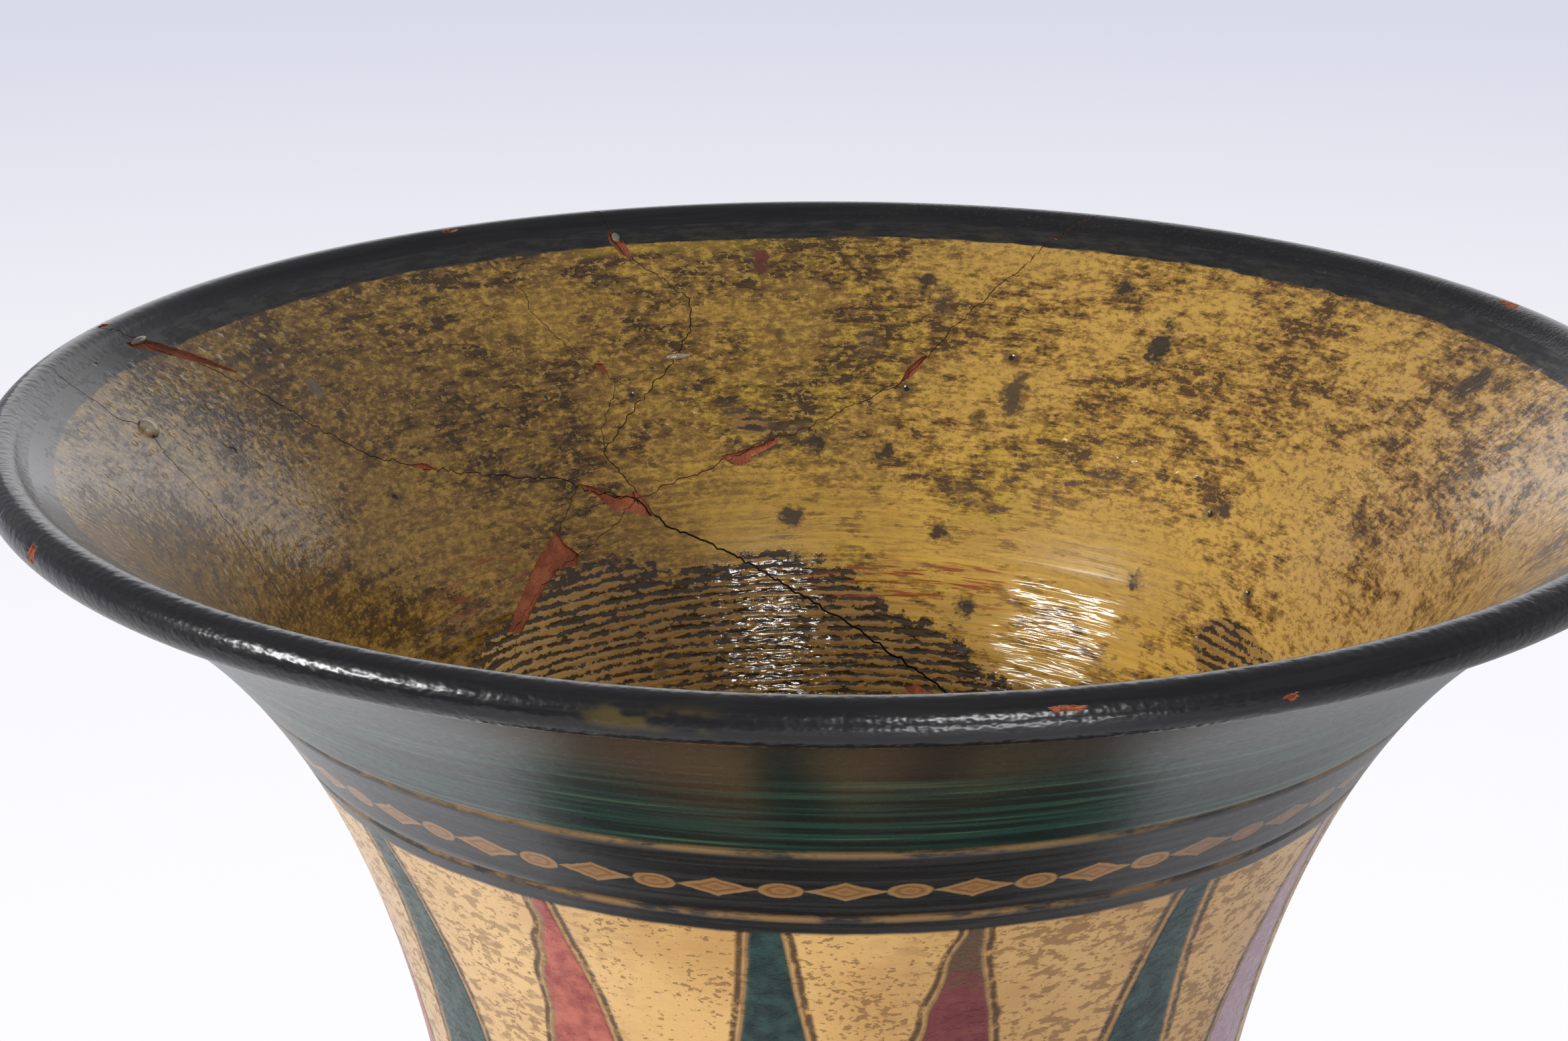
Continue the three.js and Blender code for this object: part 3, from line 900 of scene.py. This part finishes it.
mottle = f.grain(0.7, stretch=2, detail=4, shift=7.1, rough=0.75)
specked = f.times(f.fade(depth, 50, 44), f.add(1, f.times(clean, -0.7)))
f.lay("583a16", f.fade(mottle, 0.53, 0.57), specked, 0.5)
f.lay("cfa84e", f.fade(mottle, 0.46, 0.41), specked, 0.4)
f.lay("7d5c20", f.fade(hairs, 0.53, 0.6), clean, 0.5)
f.lay("cba244", f.fade(brush, 0.54, 0.62), clean, 0.4)
print("ground and stains laid")

# %% [markdown]
# In the throat a sine of the depth draws the furrows, at the pitch of the ridges that were turned. Noise
# breaks them up. Their patch has a ragged upper edge that rises towards the left, and scratches beside it.

# %% Furrows and scratches
def beyond(f, value, limit, slope):
    """How far a value is past a limit, times a slope, and nought on the near side"""
    return f.math("MAXIMUM", f.times(f.minus(value, limit), slope), 0)


edge = f.add(THROAT_TOP, beyond(f, around, 98, -0.5), beyond(f, around, 127, 0.45))
side = f.times(f.band(f.angle, 17, 33, 4), f.fade(depth, 42, 46))
below_edge = f.add(f.minus(depth, edge), f.sway(patches, 14), f.sway(dabs, 12))
side_patch = f.fade(f.add(side, f.sway(patches, 2.2)), 0.4, 0.55)
ribbed = f.math("MAXIMUM", f.fade(below_edge, -0.5, 0.5), side_patch)
wander = f.add(f.sway(f.grain(5, stretch=3, shift=2.4), 1.8), f.sway(dabs, 0.9))
furrow = f.math("SINE", f.times(f.add(f.depth, wander), FULL_TURN * MM / RIDGE_PITCH))
clogged = f.add(
    furrow, f.sway(smears, 6), f.sway(dabs, 6), f.sway(fine, 4),
    f.times(f.band(below_edge, 0, 3, 1), 0.9))
dark_furrow = f.fade(clogged, 0.0, 0.35)
# The ground between the furrows is laid paler at the left: a painted highlight for the dim left throat and
# its glints.
f.lay(f.coat(left, "8f6c3c", "e0b878"), ribbed, 0.75)
f.lay("2a211a", ribbed, dark_furrow, 0.92)

scratched = f.add(
    f.times(f.band(f.angle, 66, 92, 4), f.band(f.depth, 45, 51, 1)),
    f.times(f.band(f.angle, 131, 149, 4), f.band(f.depth, 38, 46, 2), 0.5))
scratches = f.fade(f.grain(0.5, stretch=16, detail=2, shift=4.2), 0.55, 0.6)
f.lay("8a3f1c", scratched, scratches, 0.9)
print("furrows and scratches laid")

# %% [markdown]
# Small marks come next. Pits, splashes and dust fall by chance, and the larger spots have places of their
# own. Then the black of the rim covers the upper edge of the slip, and deep in the neck the slip is laid
# darker as painted shade.

# %% Pits, spots and the rim
BALD_SPOT = (148.4, 13.4)
KNOWN_SPOTS = [
    (56.1, 13.8, 1.7, "1f1d1c"), (97.4, 7, 0.6, "5a2620"), (81.5, 9.4, 1, "2a2018"),
    (79.6, 11.3, 0.9, "3a2f22"), (62.3, 8.4, 1, "2a2018"), (70.2, 22.4, 1.8, "4a3a28"),
    (92.4, 29.8, 1, "2a2018"), (84, 31, 1, "2a2018"), (71.6, 50.5, 0.5, "2a2a26"),
    (76.5, 41.2, 0.9, "2a2018"), (95.8, 40, 1, "33281c"), (47.8, 43, 0.6, "2a2018"),
    (39.5, 31.2, 0.7, "3a3026"), (17.9, 25.9, 0.9, "33281c"), (20.8, 8.1, 1.9, "352a1f"),
]
pit = f.spots(6.5, 0.3, shift=2.9)
f.lay("3f2d1a", f.fade(f.add(pit, f.sway(dabs, 4)), 1.9, 0.7), 0.65)
f.lay("17120e", f.fade(pit, 0.6, 0.35))
splash = f.spots(13, 0.5, shift=8.4)
f.lay("16382b", f.fade(splash, 0.36, 0.24))
dust = f.spots(11, 0.4, shift=5.2)
f.lay("e6e0d2", f.fade(dust, 0.2, 0.1))
ragged = f.add(f.sway(dabs, 6), f.sway(smears, 6), f.sway(fine, 2))
spots = []
for degrees, below, size, _ in KNOWN_SPOTS:
    spots.append(f.minus(f.add(f.near(degrees, below), ragged), size))
nearest = spots[0]
for spot in spots[1:]:
    nearest = f.math("MINIMUM", nearest, spot)
f.lay("57401f", f.fade(nearest, 1.1, 0.4), 0.6)
for spot, (_, _, _, code) in zip(spots, KNOWN_SPOTS):
    f.lay(code, f.fade(spot, 0.2, -0.2), 0.85)

bald = f.add(f.near(*BALD_SPOT), f.sway(fine, 0.8))
f.lay("6b6355", f.fade(bald, 1.4, 1), 0.7)

under_rim = f.times(f.band(depth, 3.5, 5.2, 0.5), f.band(f.angle, 97, 114, 5))
f.lay("b3931f", under_rim, f.fade(smears, 0.4, 0.6), 0.5)
rim = f.fade(f.add(f.depth, f.sway(clouds, 0.7), f.sway(brush, 0.8), f.sway(hairs, 0.8)), 4.3, 4.05)
black = f.coat(f.fade(hairs, 0.42, 0.64), "0b0b0c", "242220")
black = f.coat(f.times(f.fade(f.depth, 1.5, 4.2), f.fade(smears, 0.45, 0.65), 0.6), black, "38331a")
f.lay(black, rim)
# Deep in the neck the slip is laid browner and darker: painted shade.
f.lay("7a5432", f.fade(depth, 74, 105))
print(len(KNOWN_SPOTS), "spots laid, and the rim")

# %% [markdown]
# Stained slip is duller than clean slip, and the throat shines most. The relief is low, with lumps and
# blisters above, and facets and swirls in the throat that break up its glints.

# %% Gloss and relief inside
roughness = f.total((0.16,), (core, 0.12), (fine, 0.06), (throat, -0.06), (ribbed, -0.03))
below_lip = f.fade(f.depth, 2.5, 6)
swell = f.times(f.add(f.times(lumps, 0.14), f.times(blister, 0.08)), below_lip, bumpy)
swirl = f.times(f.grain(1.3, stretch=9, detail=2, shift=9.1), f.minus(1, ribbed), 0.5)
ridges = f.total((furrow, ribbed, -0.02), (facets, ribbed, 0.3), (swirl,))
relief = f.total((swell,), (brush, below_lip, 0.04), (ridges, throat), (f.fade(pit, 0.8, 0.2), -0.2))
f.finish(roughness, relief)
print("inside slip mixed")

# %% [markdown]
# The lip is black, streaked along the brush and finely pebbled. It is smoother at the back, gritty on one
# stretch there, and rubbed yellow at one place in front.

# %% Lip black
RUBBED_ANGLES, RUBBED_DEPTHS = (-103.5, -96.5), (1.2, 3.4)
f = Finish(LIP_BLACK)
streaks = f.grain(0.5, stretch=30, detail=2)
dabs = f.grain(2.4, stretch=2, detail=2, shift=7.7)
pebbles = f.grain(0.9, stretch=1.4, detail=1, shift=1.7)
grit = f.grain(0.6, detail=3, shift=3.3, rough=0.7)
back = f.band(f.angle, 8, 172, 8)
pitted = f.times(back, f.fade(f.angle, 105, 75))
f.colour = f.coat(f.fade(streaks, 0.4, 0.65), "060607", "131211")
f.lay("38352c", f.fade(grit, 0.58, 0.68), pitted, 0.5)
rubbed = f.times(f.band(f.angle, *RUBBED_ANGLES, 1.5), f.band(f.depth, *RUBBED_DEPTHS, 0.8))
f.lay("574819", rubbed, f.fade(dabs, 0.4, 0.6), 0.55)
pebbled = f.times(pebbles, f.add(0.12, f.times(back, -0.09)))
relief = f.total((dabs, 0.04), (pebbled,), (grit, pitted, 0.1))
f.finish(0.25, relief)
print("lip black mixed")

# %% [markdown]
# The outside is painted in rings: a black lip, brushed green, a scored tan line, a black band with a
# chain of ovals and lozenges, and a cream field with tall leaves, red and green by turns. Rings come from
# the depth alone. Leaves and links repeat round the axis, so the angle is folded into one repeat, and the
# distance from its middle is measured in millimetres along the wall.

# %% Leaves
def repeats(f, count, first):
    """Distance along the wall from the middle of the nearest repeat, in mm, and the repeat's number"""
    pitch = 360 / count
    turns = f.math("DIVIDE", f.minus(f.angle, first), pitch)
    number = f.math("ROUND", turns)
    across = f.times(f.minus(turns, number), f.radius, pitch * DEGREE)
    return across, f.math("FLOORED_MODULO", number, count)


def number_is(f, number, wanted):
    return f.math("COMPARE", number, wanted, 0.5)


LEAF_COUNT = 16
FIRST_LEAF = -75
WINE_LEAF, SHEEN_LEAF = 0, 2
LEAF_WIDTHS = [
    (0, 0.5), (3, 1.9), (8, 2.4), (13, 2.9), (20, 3.9), (30, 5.1), (54, 6.8), (84, 7.6), (120, 7.9)]
LEAF_LENGTH = 120
LEAF_HALF = 10


def leaf_half_width(f, below_tip):
    """Half the width of a leaf at a distance below its tip"""
    share = f.math("DIVIDE", below_tip, LEAF_LENGTH)
    profile = f.node("FloatCurve", 1, share)
    curve = profile.node.mapping.curves[0]
    for i, (below, half) in enumerate(LEAF_WIDTHS):
        if i < 2:
            curve.points[i].location = (below / LEAF_LENGTH, half / LEAF_HALF)
        else:
            curve.points.new(below / LEAF_LENGTH, half / LEAF_HALF)
    profile.node.mapping.update()
    return f.times(profile, LEAF_HALF)


def lay_leaves(f, tip, shifts):
    """Leaves that point up to a depth: brown outlines, a pale strip and a red or green fill, and on one red
    leaf a painted sheen
    """
    across, number = repeats(f, LEAF_COUNT, FIRST_LEAF)
    for leaf, degrees in shifts.items():
        across = f.add(across, f.times(number_is(f, number, leaf), f.radius, -degrees * DEGREE))
    green = f.math("FLOORED_MODULO", number, 2)
    red = f.minus(1, green)
    waver = f.grain(9, detail=1, shift=6.1)
    shiver = f.grain(2, detail=1, shift=2.2)
    below_tip = f.minus(f.depth, tip)
    swing = f.add(f.times(red, f.sway(waver, 4.5)), f.sway(shiver, 0.5))
    narrowed = f.add(1, f.times(red, f.fade(below_tip, 18, 2), -0.5))
    half_width = f.times(leaf_half_width(f, below_tip), narrowed)
    off_middle = f.math("ABSOLUTE", f.add(across, f.times(swing, 0.5)))
    edge = f.minus(off_middle, f.add(half_width, f.times(swing, 0.3)))
    inside_field = f.fade(below_tip, -0.4, 0.4)
    worn = f.fade(f.grain(2.2, detail=4, shift=9.3, rough=0.7), 0.3, 0.5)
    f.lay("a8804c", f.band(edge, 0.05, 1.3, 0.25), inside_field, 0.6)
    heavy = f.fade(f.angle, -74, -52)
    thinned = f.math("DIVIDE", f.add(edge, f.sway(shiver, 0.6)), f.add(1, f.times(heavy, 0.35)))
    outer_line = f.times(f.band(thinned, 0.55, 1.4, 0.3), inside_field, worn)
    f.lay(f.coat(heavy, "3d291b", "2b1d15"), outer_line, 0.88)
    mottle = f.fade(f.grain(2.6, detail=4, shift=4.4), 0.34, 0.68)
    red_fill = f.coat(mottle, "904139", "b3624f")
    green_fill = f.coat(mottle, "182a28", "2d453e")
    fill = f.coat(green, red_fill, green_fill)
    wine = number_is(f, number, WINE_LEAF)
    fill = f.coat(f.times(wine, 0.75), fill, "4f1d28")
    brown_tip = f.fade(f.add(below_tip, f.sway(shiver, 12)), 14, 7)
    fill = f.coat(f.times(wine, brown_tip), fill, "5a4330")
    # Leaf 2 gets a grey lilac fill over its red: a painted sheen.
    fill = f.coat(f.times(number_is(f, number, SHEEN_LEAF), 0.75), fill, "9f8c9a")
    f.lay(fill, f.fade(edge, 0.2, -0.2), inside_field)
    inner_line = f.times(f.band(edge, -0.2, 0.3, 0.2), inside_field)
    f.lay("43301f", inner_line, 0.45)
    return f.math("MAXIMUM", inner_line, outer_line)


print(LEAF_COUNT, "leaves to a ring")

# %% [markdown]
# A chain is folded in the same way. An oval is a stretched round, and a lozenge has straight slanting sides
# that are a little hollow. The nearer of the two gives the shape of the link.

# %% Links
CHAIN_FIRST = -89
OVAL_HALF = (2.6, 1.5)
LOZENGE_HALF = (4.9, 1.95)
LOZENGE_HOLLOW = 0.85


def lay_chain(f, depth, slope, links):
    """A chain of ovals and lozenges by turns along a ring, tan on the black band"""
    pitch = 360 / links
    off_ring = f.math("ABSOLUTE", f.minus(f.depth, depth))
    down = f.math("DIVIDE", off_ring, math.sin(math.radians(slope)))
    shiver = f.sway(f.grain(1.5, detail=2, shift=3.7), 0.5)
    oval_across, _ = repeats(f, links, CHAIN_FIRST + pitch / 2)
    loz_across, _ = repeats(f, links, CHAIN_FIRST)
    across = f.math("DIVIDE", oval_across, OVAL_HALF[0])
    up = f.math("DIVIDE", down, OVAL_HALF[1])
    oval = f.length(across, up)
    reach = f.math("DIVIDE", f.math("ABSOLUTE", loz_across), LOZENGE_HALF[0])
    lozenge = f.add(f.math("POWER", reach, LOZENGE_HOLLOW), f.math("DIVIDE", down, LOZENGE_HALF[1]))
    link = f.add(f.math("MINIMUM", oval, lozenge), f.times(shiver, 0.5))
    shape = f.fade(link, 1.08, 0.9)
    unworn = f.add(1, f.times(f.fade(f.angle, -64, -50), f.fade(f.angle, 10, -10), -0.5))
    f.lay("9c7546", shape, unworn, 0.8)
    f.lay("6a4022", f.band(link, 0.46, 0.68, 0.12), 0.75)
    f.lay("81502c", f.fade(link, 0.4, 0.12), 0.75)
    return shape


print("links ready")

# %% [markdown]
# The field is cream with brown flecks. The leaves of the neck and those of the body point up to tips of
# their own, so each set is laid on the same ground, and the depth chooses between the two.

# %% Cream field and leaves
CREAM_TOP = 43.9
NECK_TIP, BODY_TIP = 41, 232
BODY_TOP = 230
NECK_END = 155
LEAF_SHIFTS = {0: -1.6, 15: 1, 14: 0.4, 13: -0.4, 1: 0.2, 2: 1}
f = Finish(OUTSIDE_PAINT)
clouds = f.grain(16)
streaks = f.grain(0.8, stretch=45, detail=2)
dabs = f.grain(2.4, stretch=2, detail=3, shift=7.7)
flecks = f.grain(0.6, stretch=1.6, detail=3, shift=1.9)
depth = f.add(f.depth, f.sway(clouds, 0.8))

f.colour = f.coat(f.fade(clouds, 0.36, 0.64), "bf9357", "d2a868")
right = f.band(f.angle, -80, -10, 10)
f.lay("94734a", right, 0.4)
dashes = f.grain(1.2, stretch=2.2, detail=3, shift=2.7)
fleck = f.fade(f.add(flecks, f.sway(f.grain(11, shift=5.1), 0.4)), 0.58, 0.65)
left_side = f.band(f.angle, -168, -115, 10)
f.lay("e6c494", left_side, 0.35)
dashed = f.times(f.math("MAXIMUM", right, f.times(left_side, 0.8)), f.fade(dashes, 0.52, 0.6))
fleck = f.times(f.math("MAXIMUM", fleck, dashed), f.fade(f.depth, CREAM_TOP - 0.4, CREAM_TOP + 0.4))
f.lay("6b4a2a", fleck, 0.65)
ground = f.colour
body_groove = lay_leaves(f, BODY_TIP, {})
body_colour, f.colour = f.colour, ground
neck_groove = lay_leaves(f, NECK_TIP, LEAF_SHIFTS)
on_body = f.fade(f.depth, BODY_TOP - 1, BODY_TOP + 1)
f.lay(body_colour, on_body)
print("cream field and leaves laid")

# %% [markdown]
# Black and green rings cover the ends of the leaves, and the top of the green is painted darker as the
# shadow of the lip. The chains go on the black, and a worn tan line lies in every scored groove. Outlines
# and links are sunk a little, as if drawn with a point.

# %% Rings, chains and lines
BLACK_SLIP = ("161516", "2b2927")
BLACK_RINGS = [(29.8, CREAM_TOP), (158, 176), (212, BODY_TOP), (346, 368)]
GREEN_RINGS = [(176, 212), (368, 378)]
LINE_HALF = 0.6
CHAINS = [(36.4, 57, 32), (167, 88, 21), (221, 60, 45), (357, 50, 21)]
black = f.coat(f.fade(streaks, 0.4, 0.66), *BLACK_SLIP)
green = f.coat(f.fade(streaks, 0.4, 0.62), "0c1a16", "1d3a30")
green = f.coat(f.times(f.fade(streaks, 0.62, 0.7), 0.4), green, "5d6b42")
for top, bottom in BLACK_RINGS:
    f.lay(black, f.band(depth, top, bottom, 0.3))
for top, bottom in GREEN_RINGS:
    f.lay(green, f.band(depth, top, bottom, 0.2))
links = 0
for ring, slope, count in CHAINS:
    links = f.math("MAXIMUM", links, lay_chain(f, ring, slope, count))
# The green darkens up towards the lip: a painted shadow of the lip.
green_with_lip_shadow = f.coat(f.fade(depth, 20, 9), green, "151c1b")
f.lay(green_with_lip_shadow, f.fade(depth, 30.2, 29.6))
worn_line = f.fade(f.grain(3, stretch=3, detail=4, shift=6.6, rough=0.68), 0.4, 0.58)
line_share = f.add(0.72, f.times(f.fade(f.angle, -76, -52), f.fade(f.angle, 10, -10), -0.3))
for line in SCORED_DEPTHS:
    tan = f.times(f.band(f.depth, line - LINE_HALF, line + LINE_HALF, 0.4), worn_line, line_share)
    f.lay("836638" if line == SCORED_DEPTHS[0] else "8c6a3c", tan)
f.lay("131314", f.fade(depth, 7, 5.8))

roughness = f.total((0.22,), (flecks, 0.14), (fleck, 0.1), (f.fade(f.depth, 7, 5), -0.04))
on_neck = f.band(f.depth, CREAM_TOP, NECK_END, 0.3)
groove = f.add(f.times(neck_groove, on_neck), f.times(body_groove, on_body))
below_lip = f.fade(f.depth, 6, 9)
relief = f.total(
    (streaks, below_lip, 0.025), (dabs, 0.06), (groove, -0.1), (links, -0.04), (fleck, -0.05))
f.finish(roughness, relief, specular=0.35)
print("outside paint mixed,", len(CHAINS), "chains")

# %% [markdown]
# The foot carries the same black and green, but it is the part that is set down and dragged, so its lower
# edge is worn back to the clay. The wear is noise that grows towards the edge. The glue is glossy and
# lets a little light through, with a faint haze.

# %% Foot and glue
FOOT_LINES = (11, 30)
f = Finish(FOOT_PAINT)
streaks = f.grain(0.8, stretch=30, detail=2)
chips = f.grain(2.6, detail=4, shift=2.5)
height = f.minus(CREST / MM, f.depth)
black = f.coat(f.fade(streaks, 0.4, 0.66), *BLACK_SLIP)
green = f.coat(f.fade(streaks, 0.38, 0.62), "14302a", "2f6350")
f.colour = f.coat(f.band(height, *FOOT_LINES, 0.3), black, green)
for line in FOOT_LINES:
    f.lay("bd9153", f.band(height, line - LINE_HALF, line + LINE_HALF, 0.15), 0.9)
wear = f.fade(f.add(f.sway(chips, 3), f.fade(height, 9, 0)), 0.55, 0.7)
f.lay("a2583a", wear)
roughness = f.total((0.28,), (wear, 0.4), (streaks, 0.1))
f.finish(roughness, f.total((streaks, 0.1), (wear, -0.15)))

f = Finish(MENDING_GLUE)
haze = f.grain(1.2, detail=2)
f.colour = f.coat(f.fade(haze, 0.35, 0.65), "b9ad97", "9a8a70")
f.lay("4f463a", f.fade(f.depth, 6, 4), 0.7)
f.finish(0.08, f.times(haze, 0.03))
f.shader.inputs["Transmission Weight"].default_value = 0.12
f.shader.inputs["IOR"].default_value = 1.49
print("foot paint and glue mixed")

# %% [markdown]
# The vase stands on a plain pale floor that runs far back, as in a photographer's cove. Near the vase it
# is mostly a matt floor that takes its shadow. Far off it is shown at one plain level, so that the lamps
# leave no pools there, and its colour cools with distance, which gives the soft lavender fade behind the
# rim. Where the paint mirrors the floor, it is a little dimmer towards the right.

# %% Floor
FLOOR_REACH = 12.0
NEAR_SHARE = 0.35
NEAR_LEVEL = 1.2
MIRROR_DIM = 0.38
NEAR_FADE, COOL_FADE = (260, 600), (600, 2900)
PALE_FLOOR, COOL_FLOOR = "fdfcff", "d8d9e8"
floor = new_piece(bpy.ops.mesh.primitive_plane_add, "floor", size=2 * FLOOR_REACH)
floor_paint = bpy.data.materials.new("floor_paint")
floor.data.materials.append(floor_paint)
f = Finish(floor_paint)
f.colour = paint("e6e6ec")
f.finish(0.9, f.times(f.grain(40), 0.2))
far = f.fade(f.radius, *NEAR_FADE)
mirrored = f.node("LightPath", output="Is Glossy Ray")
x, y = (f.node("SeparateXYZ", f.place, output=axis) for axis in "XY")
dimmed = f.minus(1, f.times(mirrored, f.fade(x, -100, 300), MIRROR_DIM))
level = f.times(f.add(NEAR_LEVEL, f.times(far, 1 - NEAR_LEVEL)), dimmed)
plain = f.node("Emission", f.coat(f.fade(f.radius, *COOL_FADE), PALE_FLOOR, COOL_FLOOR), level)
straight = f.node("LightPath", output="Is Camera Ray")
seen = f.math("MAXIMUM", straight, f.times(mirrored, f.fade(y, -300, 100)))
far_off = f.times(f.math("MAXIMUM", far, f.add(NEAR_SHARE, f.times(mirrored, 0.4))), seen)
shown = f.node("MixShader", far_off, f.shader.outputs[0], plain)
f.tree.links.new(shown, f.tree.nodes["Material Output"].inputs["Surface"])
print("floor", floor.dimensions[:])

# %% [markdown]
# Plain studio light: a pale world all round, a strip high at the left, a small box at the front right, a
# low strip in front and a wide weak box behind. The boxes are what shows as streaks on the lip and glints on
# the ridges. Past the floor the camera sees a plain backdrop in the floor's far colour.

# %% Light
AIM = Vector((0, 0, CREST - 0.03))
SKY, SKY_LEVEL = "e9e9f2", 0.47
SOFT_BOXES = {
    "left_box": ((-0.832, -0.424, 0.36), 1.1, (0.46, 0.11), 8.4),
    "front_box": ((0.28, -0.86, 0.43), 1.2, (0.24, 0.15), 4),
    "low_box": ((0.32, -0.93, -0.14), 1.2, (0.5, 0.08), 3.5),
    "back_box": ((0.17, 0.96, 0.22), 1.3, (1.6, 0.8), 4.2),
}


def soft_box(name, towards, distance, size, power):
    """An area lamp that faces the mouth from a direction"""
    light = bpy.data.lights.new(name, "AREA")
    light.shape = "RECTANGLE"
    light.size, light.size_y = size
    light.energy = power
    lamp = bpy.data.objects.new(name, light)
    bpy.context.scene.collection.objects.link(lamp)
    lamp.location = AIM + Vector(towards).normalized() * distance
    lamp.rotation_euler = (AIM - lamp.location).to_track_quat("-Z", "Y").to_euler()


for name, box in SOFT_BOXES.items():
    soft_box(name, *box)
world = bpy.data.worlds.new("studio")
bpy.context.scene.world = world
world.use_nodes = True
tree = world.node_tree
sky = tree.nodes["Background"]
sky.inputs["Color"].default_value = paint(SKY)
sky.inputs["Strength"].default_value = SKY_LEVEL
backdrop = tree.nodes.new("ShaderNodeBackground")
backdrop.inputs["Color"].default_value = paint(COOL_FLOOR)
light_path = tree.nodes.new("ShaderNodeLightPath")
choice = tree.nodes.new("ShaderNodeMixShader")
tree.links.new(light_path.outputs["Is Camera Ray"], choice.inputs["Fac"])
tree.links.new(sky.outputs[0], choice.inputs[1])
tree.links.new(backdrop.outputs[0], choice.inputs[2])
tree.links.new(choice.outputs[0], tree.nodes["World Output"].inputs["Surface"])
print(len(SOFT_BOXES), "boxes and a pale world")

# %% [markdown]
# The camera stands close in front and a little above, with a long lens. Its place and tilt were fitted to
# the rim's ellipse and to the rings of paint on the outside.

# %% Camera
IMAGE_WIDTH = 2361
FOCAL_PIXELS = 5299.4
SENSOR = 36
YAW, PITCH, ROLL = (math.radians(degrees) for degrees in (-0.902, 18.695, 0.075))
CAMERA_BACK, CAMERA_RISE = 0.44, 0.13429
CAMERA_PLACE = Vector((0, -CAMERA_BACK, CREST - LIP_ROUND + CAMERA_RISE))
camera_data = bpy.data.cameras.new("camera")
camera_data.sensor_fit = "HORIZONTAL"
camera_data.sensor_width = SENSOR
camera_data.lens = FOCAL_PIXELS / IMAGE_WIDTH * SENSOR
camera_data.clip_start = 0.01
camera = bpy.data.objects.new("camera", camera_data)
bpy.context.scene.collection.objects.link(camera)
camera.matrix_world = (
    Matrix.Translation(CAMERA_PLACE) @ Matrix.Rotation(-YAW, 4, "Z")
    @ Matrix.Rotation(math.pi / 2 - PITCH, 4, "X") @ Matrix.Rotation(ROLL, 4, "Z"))
bpy.context.scene.camera = camera
bpy.context.scene.view_settings.view_transform = "Standard"
print("lens", round(camera_data.lens, 2), "mm")
